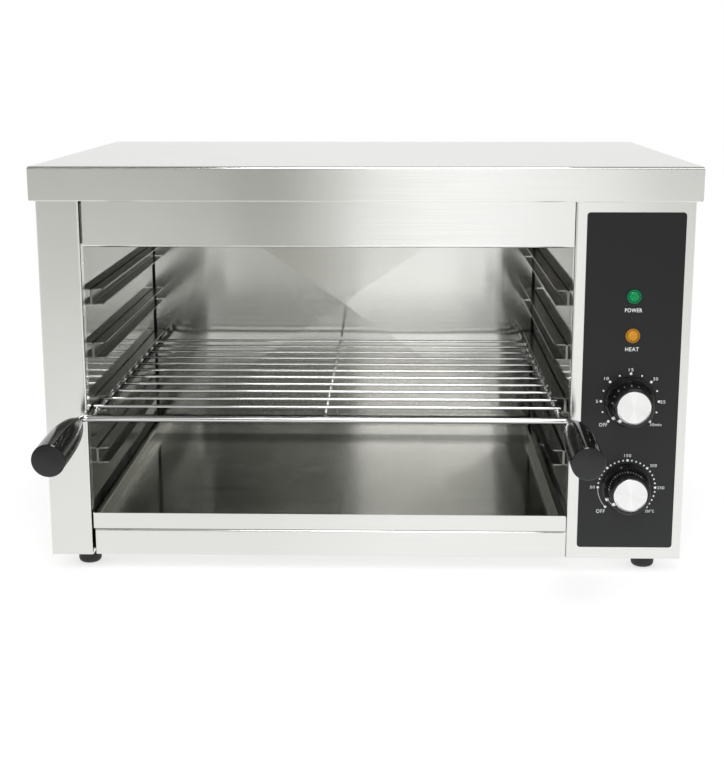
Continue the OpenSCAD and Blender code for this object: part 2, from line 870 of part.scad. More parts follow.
module thermostat_body() {
    w = 36;
    h = 48;
    inner_w = 30;
    inner_h = 34;
    deep = 26;
    drum_d = 24;
    drum_h = 5;
    rear = sheet + deep;
    color([0.70, 0.70, 0.68]) placed() difference() {
        union() {
            control_mount(therm_z, w, h);
            box([control_x - inner_w / 2, sheet, therm_z - inner_h / 2],
                [control_x + inner_w / 2, rear, therm_z + inner_h / 2]);
            rod_y(control_x, rear - 1, rear + drum_h, therm_z, drum_d);
            for (x = [-8, 0, 8]) tag([control_x + x, rear, therm_z - 15.6], tag_w, tag_t);
        }
        shaft_bore(therm_z);
    }
}

module timer_body() {
    w = 44;
    inner_w = 40;
    drum_d = 42;
    drum_h = 12;
    deep = 38;
    rear = sheet + deep;
    color([0.90, 0.90, 0.86]) placed() difference() {
        union() {
            control_mount(timer_z, w, w);
            rod_y(control_x, sheet, sheet + drum_h, timer_z, drum_d);
            box([control_x - inner_w / 2, sheet + drum_h, timer_z - inner_w / 2],
                [control_x + inner_w / 2, rear, timer_z + inner_w / 2]);
            for (x = [-10, 10]) tag([control_x + x, rear, timer_z - 11.6], tag_w, tag_t);
        }
        shaft_bore(timer_z);
    }
}

// Disc thermostat on the chamber's wall that cuts the power if the column gets too hot
module thermal_limiter() {
    disc_d = 20;
    disc_t = 4;
    can_d = 16;
    can_h = 9;
    ear_long = 32;
    ear_w = 10;
    x = chamber_r + sheet;
    can_end = x + disc_t + can_h;
    color([0.16, 0.15, 0.15]) placed() {
        rod_x(x, x + disc_t, limiter_y, limiter_z, disc_d);
        rod_x(x + disc_t, can_end, limiter_y, limiter_z, can_d);
        translate([x, limiter_y - ear_long / 2, limiter_z - ear_w / 2]) cube([sheet, ear_long, ear_w]);
        for (side = [-1, 1]) translate([can_end, limiter_y + side * 5, limiter_z]) rotate([0, 90, -90])
            tag([0, 0, 0], tag_w, tag_t);
    }
}

// Domed lens with a rim, as a revolved profile
module lamp_lens(z, tint) {
    r = lens_d / 2;
    rim = 1.6;
    rim_h = 1.9;
    dome_h = 3.4;
    color(tint) placed() translate([control_x, -overlay_t, z]) rotate([90, 0, 0]) rotate_extrude() polygon([
        [0, 0], [r, 0], [r, rim_h - 0.7], [r - 0.7, rim_h], [r - rim, rim_h],
        [r - rim - 0.6, rim_h + 0.8], [r / 2, dome_h - 0.2], [1, dome_h], [0, dome_h]
    ]);
}

module lamp_body(z) {
    barrel_end = 24;
    nut = 16;
    nut_t = 4;
    tag_out = 8;
    color([0.12, 0.12, 0.12]) placed() {
        rod_y(control_x, -overlay_t, barrel_end, z, lamp_barrel_d);
        hex_y([control_x, sheet, z], nut, nut_t);
        for (x = [-2.6, 2.6]) tag([control_x + x, barrel_end, z], 2.8, 0.6, tag_out);
    }
}

// Three-pole block on the right side panel's bottom flange, with a screw well and a wire hole a pole
module terminal_block() {
    poles = 3;
    pitch = 14;
    deep = 30;
    plinth_h = 10;
    pole_h = 20;
    side_in = 1.5;
    end_in = 4;
    well_d = 5.5;
    wire_hole_d = 4;
    wire_hole_z = 13;
    x0 = control_x - poles * pitch / 2;
    y0 = case_d - 90;
    color([0.88, 0.87, 0.82]) placed() translate([x0, y0, pan_z]) difference() {
        union() {
            cube([poles * pitch, deep, plinth_h]);
            for (i = [0:poles - 1]) {
                box([i * pitch + side_in, end_in, plinth_h - 1],
                    [(i + 1) * pitch - side_in, deep - end_in, pole_h]);
            }
        }
        for (i = [0:poles - 1]) {
            rod_z((i + 0.5) * pitch, deep / 2, wire_hole_z, pole_h + 1, well_d);
            rod_y((i + 0.5) * pitch, end_in - 1, deep - end_in + 1, wire_hole_z, wire_hole_d);
        }
    }
}

// Gland with a hexagon flange outside the rear panel and a domed clamping cap
module cable_gland() {
    flange_t = 5;
    inside = 12;
    cap_r = gland_d / 2 - 0.5;
    cap_h = gland_out - flange_t;
    bevel_r = 2.5;
    bevel_h = 4;
    color(black) placed() difference() {
        union() {
            rod_y(control_x, case_d - sheet - inside, case_d + flange_t, gland_at_z, gland_d);
            hex_y([control_x, case_d, gland_at_z], gland_hex, flange_t);
            translate([control_x, case_d + flange_t, gland_at_z]) rotate([-90, 0, 0])
                rotate_extrude() polygon([
                    [0, 0], [cap_r, 0], [cap_r, cap_h - bevel_h], [cap_r - bevel_r, cap_h], [0, cap_h]
                ]);
        }
        rod_y(control_x, case_d - 30, case_d + gland_out + 1, gland_at_z, gland_bore);
    }
}

module gland_nut() {
    nut_t = 6;
    front = case_d - sheet - nut_t;
    color(black) placed() difference() {
        hex_y([control_x, front, gland_at_z], gland_hex + 2, nut_t);
        rod_y(control_x, front - 1, front + nut_t + 1, gland_at_z, gland_d);
    }
}

// Tray runners and feet

// Hat-edged rail that stands on the base pan and carries the tray
module tray_runner(x, toward) {
    z0 = pan_z + 1.5 * sheet;
    z1 = runner_top - sheet / 2;
    foot_w = 12;
    rail_w = 14;
    rear = chamber_d - 4;
    front = 26;
    color(dark_steel) placed() translate([x, rear, 0]) rotate([90, 0, 0]) linear_extrude(rear - front)
        fold([[-toward * foot_w, z0], [0, z0], [0, z1], [toward * rail_w, z1]]);
}

module foot(x, y) {
    r = foot_d / 2;
    round_r = 4;
    color([0.10, 0.10, 0.10]) placed() translate([x, y, 0]) difference() {
        rotate_extrude() polygon(concat(
            [[0, 0]],
            [for (a = [0:15:90]) [r - round_r + round_r * sin(a), round_r - round_r * cos(a)]],
            [[r, foot_h], [0, foot_h]]
        ));
        translate([0, 0, -1]) cylinder(d = foot_recess_d, h = foot_h - foot_recess + 1);
        translate([0, 0, -1]) cylinder(d = foot_screw_d + screw_clear, h = foot_h + 2);
    }
}

// Screws that clamp the feet, the side panels' flanges and the base pan, each with a nut on top
module foot_screws() {
    head_h = 2.6;
    nut = 8;
    nut_t = 3.2;
    head_z = foot_h - foot_recess;
    color(dark_steel) placed() for (x = foot_xs, y = foot_ys) {
        rod_z(x, y, head_z - head_h, head_z, foot_head_d);
        rod_z(x, y, head_z - 0.5, base_z + 10, foot_screw_d);
        translate([x, y, pan_z + sheet]) difference() {
            cylinder(d = nut, h = nut_t, $fn = 6);
            translate([0, 0, -1]) cylinder(d = foot_screw_d, h = nut_t + 2);
        }
    }
}

// Grid

// Places what follows the tilted rod at one side of the grid: x across, -y along the rod from the bar
module at_leg(side) {
    translate([grid_mid + side * leg_x, bar_y, grid_z]) rotate([leg_tilt, 0, 0]) children();
}

// One rod bent to a U: a bar across the front, and the two ends that carry the handles
module grid_front_rod() {
    route = [[-leg_x, -leg_len, 0], [-leg_x, 0, 0], [leg_x, 0, 0], [leg_x, -leg_len, 0]];
    color(chromed) placed() translate([grid_mid, bar_y, grid_z]) rotate([leg_tilt, 0, 0])
        bent_rod(route, front_rod_d, rod_bend_r);
}

module grid_side_rod(side) {
    color(chromed) placed()
        rod_y(grid_mid + side * side_rod_x, bar_y + front_rod_d / 2, side_rod_end, grid_z, side_rod_d);
}

module grid_cross_wires() {
    color(chromed) placed() for (y = wire_ys) {
        rod_x(grid_mid - grid_w / 2, grid_mid + grid_w / 2, y, wire_z, wire_d);
    }
}

module grid_middle_wire() {
    front_out = 18;
    rear_out = 10;
    color(chromed) placed()
        rod_y(grid_mid, wire_ys[0] - front_out, wire_ys[wire_count - 1] + rear_out, wire_z - wire_d, wire_d);
}

// Turned handle: it is thickest behind its crowned face and tapers ever faster to its root
module handle(side) {
    most = handle_d / 2;
    root = handle_root_d / 2;
    body = handle_len - handle_crown - handle_edge;
    taper = 4; // power of the taper
    steps = 16;
    bore_d = front_rod_d + 2 * handle_bore_clear;
    color(black) placed() at_leg(side) translate([0, -handle_end, 0]) rotate([-90, 0, 0]) difference() {
        rotate_extrude() polygon(concat(
            handle_nose,
            [for (i = [0:steps])
                [most - (most - root) * (i / steps) ^ taper, handle_len - body * (1 - i / steps)]],
            [[0, handle_len]]
        ));
        translate([0, 0, handle_end - leg_len - 1]) cylinder(d = bore_d, h = handle_len);
    }
}

// Tray

// Dished sheet: floor, upright walls, outward rims at the sides and the rear, and a tall front face
module crumb_tray() {
    x0 = chamber_mid - tray_w / 2;
    x1 = chamber_mid + tray_w / 2;
    rim_z = tray_top - sheet / 2;
    floor_z = tray_bottom + sheet / 2;
    in_x0 = x0 + tray_rim;
    in_x1 = x1 - tray_rim;
    in_y1 = tray_end - tray_rim;
    section = [
        [x0, rim_z], [in_x0, rim_z], [in_x0, floor_z],
        [in_x1, floor_z], [in_x1, rim_z], [x1, rim_z]
    ];
    color(dark_steel) placed() {
        translate([0, in_y1, 0]) rotate([90, 0, 0]) linear_extrude(in_y1 - sheet) fold(section);
        box([in_x0 - sheet / 2, in_y1 - sheet, tray_bottom], [in_x1 + sheet / 2, in_y1, tray_top]);
        box([x0, in_y1 - sheet, tray_top - sheet], [x1, tray_end, tray_top]);
        tray_front();
    }
}

// Upright front face, which covers the tray's section and stands just above the base strip
module tray_front() {
    x0 = front_l - 0.9;
    x1 = chamber_r - 0.4;
    strip_gap = 0.4;
    notch_r = 1;
    difference() {
        box([x0, 0, strip_top + strip_gap], [x1, sheet, tray_top]);
        rod_y(x1, -1, sheet + 1, tray_top, 2 * notch_r);
    }
}

// Knobs

// Profile of a knob from its open back to its face, as [radius, height]
function knob_profile(r_skirt, r_grip, r_face, high) = concat(
    [[0, 0], [r_skirt, 0], [r_skirt, 2], [r_skirt - 0.9, 3]],
    [for (a = [0:15:90]) [r_grip + 1 + (r_skirt - r_grip - 2.4) * (1 - sin(a)), 3 + 4.5 * (1 - cos(a))]],
    [for (a = [0:15:90]) [r_face + (r_grip - r_face) * cos(a), high - 2.6 + 2.6 * sin(a)]],
    [[0, high]]
);

// Hollow knob: a hub round the shaft inside the grip, and a pocket for the cap in its face
module knob(z) {
    high = knob_h - overlay_t - knob_gap;
    hub_d = 13;
    wall = 2;
    roof_t = 8; // from the hollow to the face
    shaft_roof = 6; // from the shaft's blind hole to the face
    skirt_out = 4.4;
    face_edge = 0.8;
    grip_r = knob_d / 2 - skirt_out;
    color(black) placed() translate([control_x, -overlay_t - knob_gap, z]) rotate([90, 0, 0]) difference() {
        rotate_extrude() polygon(knob_profile(knob_d / 2, grip_r, cap_d / 2 + face_edge, high));
        translate([0, 0, -1]) difference() {
            cylinder(r = grip_r - wall, h = high - roof_t + 1);
            cylinder(d = hub_d, h = high);
        }
        translate([0, 0, -1]) cylinder(d = shaft_d, h = high - shaft_roof + 1);
        translate([0, 0, high - cap_t + cap_proud]) cylinder(d = cap_d + cap_clear, h = cap_t);
    }
}

// Metal cap with a turned-down rim round a flat, slightly sunk middle
module knob_cap(z) {
    r = cap_d / 2;
    rim = 0.5;
    rim_w = 1.4;
    sunk = 0.35;
    color([0.93, 0.93, 0.93]) placed() translate([control_x, -knob_h + cap_t - cap_proud, z])
        rotate([90, 0, 0]) rotate_extrude() polygon([
            [0, 0], [r, 0], [r, cap_t - rim], [r - rim, cap_t], [r - rim_w, cap_t - 0.25],
            [2, cap_t - sunk], [0, cap_t - sunk]
        ]);
}

module knob_shaft(z) {
    color(dark_steel) placed() rod_y(control_x, shaft_front, shaft_in, z, shaft_d);
}

top_cover();
left_side_panel();
right_side_panel();
rear_panel();
rear_panel_screws();
base_pan();
base_front_strip();
front_fascia();
control_overlay();
chamber_left_wall();
chamber_right_wall();
chamber_back_wall();
reflector();
wool_top();
wool_back();
rack(1, chamber_l, 1);  // rack_left_1
rack(2, chamber_l, 1);  // rack_left_2
rack(3, chamber_l, 1);  // rack_left_3
rack(4, chamber_l, 1);  // rack_left_4
rack(1, chamber_r, -1);  // rack_right_1
rack(2, chamber_r, -1);  // rack_right_2
rack(3, chamber_r, -1);  // rack_right_3
rack(4, chamber_r, -1);  // rack_right_4
heating_element(element_ys[0]);  // heating_element_front
heating_element(element_ys[1]);  // heating_element_rear
element_bushes();
element_combs();
thermostat_bulb();
bulb_clips();
thermostat_body();
timer_body();
thermal_limiter();
lamp_lens(power_z, [0.05, 0.62, 0.30]);  // power_lamp_lens
lamp_body(power_z);  // power_lamp_body
lamp_lens(heat_z, [0.95, 0.60, 0.12]);  // heat_lamp_lens
lamp_body(heat_z);  // heat_lamp_body
terminal_block();
cable_gland();
gland_nut();
tray_runner(chamber_l + runner_in, 1);  // tray_runner_left
tray_runner(chamber_r - runner_in, -1);  // tray_runner_right
foot(foot_xs[0], foot_ys[0]);  // foot_front_left
foot(foot_xs[1], foot_ys[0]);  // foot_front_right
foot(foot_xs[0], foot_ys[1]);  // foot_rear_left
foot(foot_xs[1], foot_ys[1]);  // foot_rear_right
foot_screws();
grid_front_rod();
grid_side_rod(-1);  // grid_side_rod_left
grid_side_rod(1);  // grid_side_rod_right
grid_cross_wires();
grid_middle_wire();
handle(-1);  // handle_left
handle(1);  // handle_right
crumb_tray();
knob(timer_z);  // timer_knob
knob_cap(timer_z);  // timer_knob_cap
knob_shaft(timer_z);  // timer_shaft
knob(therm_z);  // thermostat_knob
knob_cap(therm_z);  // thermostat_knob_cap
knob_shaft(therm_z);  // thermostat_shaft
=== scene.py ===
"""Finishes, printed dials, weld beads, lights and camera of a counter-top cheese melter.

The cabinet, the grid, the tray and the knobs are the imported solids. This file gives each of them
its finish and adds what is printed on, pressed into or beaded onto them.
"""

import math
import random

import bmesh
import bpy
from mathutils import Matrix, Vector
from mathutils.bvhtree import BVHTree


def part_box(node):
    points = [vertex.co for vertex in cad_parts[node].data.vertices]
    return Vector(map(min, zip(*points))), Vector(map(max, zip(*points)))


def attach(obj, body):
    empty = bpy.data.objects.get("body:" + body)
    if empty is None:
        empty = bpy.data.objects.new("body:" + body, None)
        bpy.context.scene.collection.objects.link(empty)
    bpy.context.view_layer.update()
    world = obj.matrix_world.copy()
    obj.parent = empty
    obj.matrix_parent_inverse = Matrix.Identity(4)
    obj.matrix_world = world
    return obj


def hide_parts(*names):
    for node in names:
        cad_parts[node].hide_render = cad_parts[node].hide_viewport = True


bl_info = {
    "name": "Cheese melter",
    "version": (1, 0, 0),
    "blender": (4, 5, 0),
    "location": "View3D > Sidebar > Melter",
    "description": "Finishes and small parts of a counter-top cheese melter",
    "category": "Object",
}

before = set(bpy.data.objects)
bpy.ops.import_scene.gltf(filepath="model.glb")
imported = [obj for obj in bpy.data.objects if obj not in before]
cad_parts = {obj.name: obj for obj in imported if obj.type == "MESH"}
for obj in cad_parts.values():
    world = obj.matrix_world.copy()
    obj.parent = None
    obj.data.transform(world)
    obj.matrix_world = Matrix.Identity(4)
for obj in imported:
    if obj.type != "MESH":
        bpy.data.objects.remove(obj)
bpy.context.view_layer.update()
MM = 0.001
CROSS_WIRES = 11
DIAGONAL = 0.7071


# ---------------------------------------------------------------------------- sizes from the frame


def middle(name):
    """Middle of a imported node."""
    low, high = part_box(name)
    return (low + high) / 2


def front_y(name):
    """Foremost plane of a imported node."""
    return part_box(name)[0].y


# ---------------------------------------------------------------------------- settings


class MelterSteel(bpy.types.PropertyGroup):
    """Outer cabinet: satin sheet with a fine horizontal brushing."""

    colour: bpy.props.FloatVectorProperty(
        name="Steel colour", description="Colour of the brushed cabinet sheet",
        subtype="COLOR", size=3, min=0, max=1, default=(0.865, 0.865, 0.845))
    roughness: bpy.props.FloatProperty(
        name="Roughness", description="How far the cabinet sheet blurs what it mirrors",
        min=0, max=1, default=0.145, subtype="FACTOR")
    brush_pitch: bpy.props.FloatProperty(
        name="Brush pitch", description="Distance between the coarser brush lines",
        min=0.0001, max=0.005, default=0.0006, unit="LENGTH")
    brush_depth: bpy.props.FloatProperty(
        name="Brush depth", description="Depth of the brush lines in the bump",
        min=0, max=0.001, default=0.000006, unit="LENGTH")


class MelterLiner(bpy.types.PropertyGroup):
    """Chamber, racks and tray: bright sheet that mirrors its surroundings."""

    colour: bpy.props.FloatVectorProperty(
        name="Liner colour", description="Colour of the bright chamber sheet",
        subtype="COLOR", size=3, min=0, max=1, default=(0.72, 0.72, 0.69))
    roughness: bpy.props.FloatProperty(
        name="Roughness", description="How far the chamber sheet blurs what it mirrors",
        min=0, max=1, default=0.06, subtype="FACTOR")
    wave_depth: bpy.props.FloatProperty(
        name="Wave depth", description="Height of the slow waves in the thin sheet",
        min=0, max=0.01, default=0.0004, unit="LENGTH")


class MelterBlack(bpy.types.PropertyGroup):
    """Handles, knobs and the overlay plate."""

    gloss_colour: bpy.props.FloatVectorProperty(
        name="Gloss black", description="Colour of the handles and the knobs",
        subtype="COLOR", size=3, min=0, max=1, default=(0.006, 0.006, 0.006))
    gloss_roughness: bpy.props.FloatProperty(
        name="Gloss roughness", description="Roughness of the polished black plastic",
        min=0, max=1, default=0.04, subtype="FACTOR")
    # Painted reflection: the end faces fade from this colour at their foot to gloss black at the
    # top.
    painted_face_reflection: bpy.props.FloatVectorProperty(
        name="Handle face", description="Colour of the handles' end faces",
        subtype="COLOR", size=3, min=0, max=1, default=(0.013, 0.0146, 0.0143))
    face_roughness: bpy.props.FloatProperty(
        name="Handle face roughness", description="Roughness of the handles' end faces",
        min=0, max=1, default=0.36, subtype="FACTOR")
    overlay_colour: bpy.props.FloatVectorProperty(
        name="Overlay", description="Colour of the charcoal overlay plate",
        subtype="COLOR", size=3, min=0, max=1, default=(0.0045, 0.0052, 0.0048))
    print_colour: bpy.props.FloatVectorProperty(
        name="Print", description="Colour of the dots, numbers and captions",
        subtype="COLOR", size=3, min=0, max=1, default=(0.93, 0.95, 0.95))


class MelterPrint(bpy.types.PropertyGroup):
    """Sizes of what is printed on the overlay plate and on the knobs."""

    ring_radius: bpy.props.FloatProperty(
        name="Ring radius", description="Radius of the ring of dots round a knob",
        min=0.02, max=0.04, default=0.0264, unit="LENGTH")
    number_height: bpy.props.FloatProperty(
        name="Number height", description="Height of the dial numbers",
        min=0.001, max=0.006, default=0.0028, unit="LENGTH")
    off_height: bpy.props.FloatProperty(
        name="OFF height", description="Height of the word OFF",
        min=0.001, max=0.006, default=0.0035, unit="LENGTH")
    caption_height: bpy.props.FloatProperty(
        name="Caption height", description="Height of the lamps' captions",
        min=0.001, max=0.006, default=0.0036, unit="LENGTH")
    major_dot: bpy.props.FloatProperty(
        name="Large dot", description="Diameter of the dots at the numbers",
        min=0.0005, max=0.005, default=0.0024, unit="LENGTH")
    minor_dot: bpy.props.FloatProperty(
        name="Small dot", description="Diameter of the dots between the numbers",
        min=0.0005, max=0.005, default=0.0016, unit="LENGTH")
    ink: bpy.props.FloatProperty(
        name="Ink height", description="How far the print stands off its plate",
        min=0.00001, max=0.0005, default=0.00005, unit="LENGTH")


class MelterStage(bpy.types.PropertyGroup):
    """Floor, surroundings and lamps."""

    floor_colour: bpy.props.FloatVectorProperty(
        name="Floor colour", description="Colour of the plain floor",
        subtype="COLOR", size=3, min=0, max=1, default=(0.5, 0.5, 0.5))
    floor_lift: bpy.props.FloatProperty(
        name="Floor lift", description="Glow that brings the open floor up to white",
        min=0, max=1, default=0.62)
    near_floor: bpy.props.FloatProperty(
        name="Near floor", description="Level of the floor close by, as polished parts see it",
        min=0, max=1, default=0.97)
    rear_floor: bpy.props.FloatProperty(
        name="Rear floor", description="Level of the floor behind, as polished parts see it",
        min=0, max=4, default=0.8)
    backdrop: bpy.props.FloatProperty(
        name="Backdrop", description="Level of the wall behind, as polished parts see it",
        min=0, max=1, default=0.93)
    ceiling: bpy.props.FloatProperty(
        name="Ceiling", description="Level of the room overhead, as polished parts see it",
        min=0, max=1, default=0.3)
    soft_box: bpy.props.FloatProperty(
        name="Soft box",
        description="Level of the broad lamp above the front, as polished parts see it",
        min=0, max=10, default=1.8)
    surround: bpy.props.FloatProperty(
        name="Surroundings", description="Strength of the light from all round",
        min=0, max=4, default=0.8)
    key_lamp: bpy.props.FloatProperty(
        name="Key lamp", description="Power of the lamp above the front",
        min=0, max=500, default=5, unit="POWER")
    front_lamp: bpy.props.FloatProperty(
        name="Front lamp", description="Power of the narrow lamp ahead and above",
        min=0, max=500, default=4, unit="POWER")


SETTINGS = {
    "melter_steel": MelterSteel,
    "melter_liner": MelterLiner,
    "melter_black": MelterBlack,
    "melter_print": MelterPrint,
    "melter_stage": MelterStage,
}


def settings(name):
    """The scene's group of settings of that name."""
    return getattr(bpy.context.scene, "melter_" + name)


# ---------------------------------------------------------------------------- finishes


class Nodes:
    """Short calls for the nodes of one node tree."""

    def __init__(self, tree):
        self.tree = tree

    def feed(self, socket, value):
        """Links an output to the socket, or sets the socket's own value."""
        if isinstance(value, bpy.types.NodeSocket):
            self.tree.links.new(value, socket)
        else:
            socket.default_value = value

    def add(self, kind, inputs=(), out=0, **fields):
        """Adds a node, sets its fields and feeds its inputs by place or name. Gives one output."""
        made = self.tree.nodes.new("ShaderNode" + kind)
        for field, value in fields.items():
            setattr(made, field, value)
        pairs = inputs.items() if isinstance(inputs, dict) else enumerate(inputs)
        for key, value in pairs:
            if value is not None:
                self.feed(made.inputs[key], value)
        return made.outputs[out]

    def sum(self, operation, a, b=None):
        """One step of arithmetic."""
        return self.add("Math", (a, b), operation=operation)

    def span(self, value, a, b, c, d, smooth=False):
        """Maps a..b onto c..d."""
        kind = "SMOOTHSTEP" if smooth else "LINEAR"
        return self.add("MapRange", (value, a, b, c, d), interpolation_type=kind)

    def mix(self, share, one, two):
        """Number between two."""
        return self.add("Mix", {0: share, 2: one, 3: two}, data_type="FLOAT")

    def fade(self, value, a, b, one, two):
        """Number that goes smoothly from one, where the value is a, to two, where it is b."""
        return self.mix(self.span(value, a, b, 0, 1, True), one, two)

    def blend(self, share, one, two):
        """Colour between two."""
        inputs = {0: share, 6: self.rgba(one), 7: self.rgba(two)}
        return self.add("Mix", inputs, out=2, data_type="RGBA")

    @staticmethod
    def rgba(value):
        """A plain colour with its fourth number, or an output as it is."""
        return value if isinstance(value, bpy.types.NodeSocket) else (*value, 1)

    def axis(self, vector, name):
        """X, Y or Z of a vector."""
        return self.add("SeparateXYZ", (vector,), out=name)

    def grey(self, value):
        """Grey that leans a little to yellow where it is dim."""
        blue = self.sum("MULTIPLY", value, self.span(value, 0.0, 1.0, 0.89, 1.0))
        return self.add("CombineColor", (value, value, blue))

    def from_middle(self, centre, place):
        """Sideways and upward distance from a centre, as a vector, and its length."""
        off = self.add("VectorMath", (place, tuple(-centre)), operation="ADD")
        flat = self.add("VectorMath", (off, (1, 0, 1)), operation="MULTIPLY")
        return flat, self.add("VectorMath", (flat,), operation="LENGTH", out="Value")

    def steps(self, value, reach, stops):
        """Grey ramp over -reach..reach, through (place, grey) stops."""
        made = self.tree.nodes.new("ShaderNodeValToRGB")
        self.feed(made.inputs[0], self.span(value, -reach, reach, 0.0, 1.0))
        made.color_ramp.interpolation = "EASE"
        elements = made.color_ramp.elements
        while len(elements) < len(stops):
            elements.new(0.5)
        for element, (place, level) in zip(elements, stops):
            element.position = (place + reach) / (2 * reach)
            element.color = (level, level, level, 1)
        return self.add("RGBToBW", (made.outputs[0],))


class Finish(Nodes):
    """One material. Its plain colour stays on the socket under any pattern that is linked to it."""

    def __init__(self, name, colour=(0.5, 0.5, 0.5), **sockets):
        self.material = bpy.data.materials.new(name)
        self.material.use_nodes = True
        super().__init__(self.material.node_tree)
        self.shader = self.tree.nodes["Principled BSDF"]
        self.put("Base Color", (*colour, 1))
        for socket, value in sockets.items():
            self.put(socket.replace("_", " "), value)

    def put(self, socket, value):
        """Sets one of the shader's sockets, or links it."""
        self.feed(self.shader.inputs[socket], value)

    def tint(self, pattern, dark, light, low=0.3, high=0.7):
        """Colour that follows a pattern, dark where it is low and light where it is high."""
        self.put("Base Color", self.blend(self.span(pattern, low, high, 0, 1), dark, light))

    def roughen(self, pattern, least, most):
        """Roughness that follows a pattern."""
        self.put("Roughness", self.span(pattern, 0.3, 0.7, least, most))

    def linked(self, socket):
        """What one of the shader's sockets is linked to."""
        return self.shader.inputs[socket].links[0].from_socket

    def place(self):
        """Position on the piece, in metres."""
        return self.add("TexCoord", out="Object")

    def stretch(self, scale, vector=None):
        """Position with each axis scaled, so that a pattern gets long or short along it."""
        return self.add("VectorMath", (vector or self.place(), scale), operation="MULTIPLY")

    def noise(self, vector, scale=1.0, detail=2.0, rough=0.5):
        """Cloudy pattern, mostly between 0.3 and 0.7."""
        inputs = {"Vector": vector, "Scale": scale, "Detail": detail, "Roughness": rough}
        return self.add("TexNoise", inputs, out="Fac")

    def bump(self, height, depth, normal=None):
        """Bump whose full height is depth, in metres."""
        inputs = {"Height": height, "Strength": 1.0, "Distance": depth}
        if normal is not None:
            inputs["Normal"] = normal
        return self.add("Bump", inputs, out="Normal")

    def level(self):
        """1 on faces that look up or down, else 0."""
        up = self.axis(self.add("NewGeometry", out="True Normal"), "Z")
        return self.sum("GREATER_THAN", self.sum("ABSOLUTE", up), 0.7)

    def brush_sideways(self):
        """Brush lines run level from side to side, so reflections smear across them."""
        inputs = {0: self.level(), 4: (0, 0, 1), 5: (0, 1, 0)}
        self.put("Tangent", self.add("Mix", inputs, out=1, data_type="VECTOR"))


def brushed_steel():
    """Cabinet sheet: level brushing in short, uneven strokes, and faint cloudy wear."""
    look = settings("steel")
    finish = Finish("brushed_steel", look.colour, Metallic=1.0, Anisotropic=0.95)
    finish.brush_sideways()
    place = finish.place()
    stroke, fine = 9, 1 / look.brush_pitch
    upright, level = (finish.noise(finish.stretch(scale, place), 1.0, 3.0, 0.6)
                      for scale in ((stroke, stroke, fine), (stroke, fine, stroke)))
    grain = finish.mix(finish.level(), upright, level)
    clouds = finish.noise(place, 14.0, 3.0, 0.55)
    finish.put("Roughness", finish.sum(
        "ADD", finish.span(grain, 0.25, 0.75, look.roughness - 0.03, look.roughness + 0.03),
        finish.span(clouds, 0.3, 0.7, -0.02, 0.02)))
    light = tuple(min(1.0, c * 1.02) for c in look.colour)
    dark = tuple(c * 0.975 for c in look.colour)
    finish.tint(grain, dark, light)
    finish.put("Normal", finish.bump(grain, look.brush_depth))
    return finish.material


def bright_liner(name, shade=1.0, roughness=None, anisotropic=0.0, waves=1.0):
    """Chamber sheet: bright, slightly wavy, with light rubbing marks. Gives the Finish."""
    look = settings("liner")
    base = look.roughness if roughness is None else roughness
    colour = tuple(min(1.0, c * shade) for c in look.colour)
    finish = Finish(name, colour, Metallic=1.0, Anisotropic=anisotropic)
    place = finish.place()
    if anisotropic:
        finish.brush_sideways()
    rubbed = finish.noise(finish.stretch((5, 40, 700), place), 1.0, 3.0, 0.6)
    clouds = finish.noise(place, 11.0, 3.0, 0.6)
    finish.put("Roughness", finish.sum(
        "ADD", finish.span(rubbed, 0.3, 0.7, base - 0.015, base + 0.015),
        finish.span(clouds, 0.35, 0.75, -0.01, 0.02)))
    finish.tint(clouds, tuple(c * 0.95 for c in colour), colour)
    slow = finish.noise(finish.stretch((6.0, 6.0, 6.0), place), 1.0, 1.0, 0.4)
    wavy = finish.bump(slow, look.wave_depth * waves)
    finish.put("Normal", finish.bump(rubbed, 0.002 * MM, wavy))
    return finish


def chrome_wire(name="chrome_wire", dark=0.97, start=0.0, pitch=1.0):
    """Chromed wire with painted shade on its underside, and a faint draw grain.

    Between welds, which lie a pitch apart along y from the start, it has the dark level, a painted
    shade.
    """
    bright = 0.97
    finish = Finish(name, Metallic=1.0)
    along = finish.sum("SUBTRACT", finish.axis(finish.place(), "Y"), start)
    from_weld = finish.sum("PINGPONG", along, pitch / 2)
    # Painted shade: darker between the welds, down to the dark level.
    shade = finish.span(from_weld, 1.5 * MM, 3.5 * MM, bright, dark)
    # Painted shade: faces that look down are darkened to 0.35 of the wire's grey.
    up = finish.axis(finish.add("NewGeometry", out="Normal"), "Z")
    shade = finish.sum("MULTIPLY", shade, finish.span(up, -0.45, -0.1, 0.35, 1.0))
    finish.put("Base Color", finish.add("CombineColor", (shade, shade, shade)))
    grain = finish.noise(finish.stretch((60, 60, 1500)), 1.0, 2.0)
    finish.roughen(grain, 0.03, 0.08)
    finish.put("Normal", finish.bump(finish.noise(finish.place(), 300.0, 2.0), 0.01 * MM))
    return finish.material


def gloss_black(name="gloss_black"):
    """Polished black plastic with a faint moulding ripple. Gives the Finish."""
    look = settings("black")
    finish = Finish(name, look.gloss_colour, Specular_IOR_Level=0.5)
    ripple = finish.noise(finish.place(), 55.0, 2.0)
    finish.roughen(ripple, look.gloss_roughness, look.gloss_roughness + 0.02)
    finish.put("Normal", finish.bump(ripple, 0.006 * MM))
    return finish


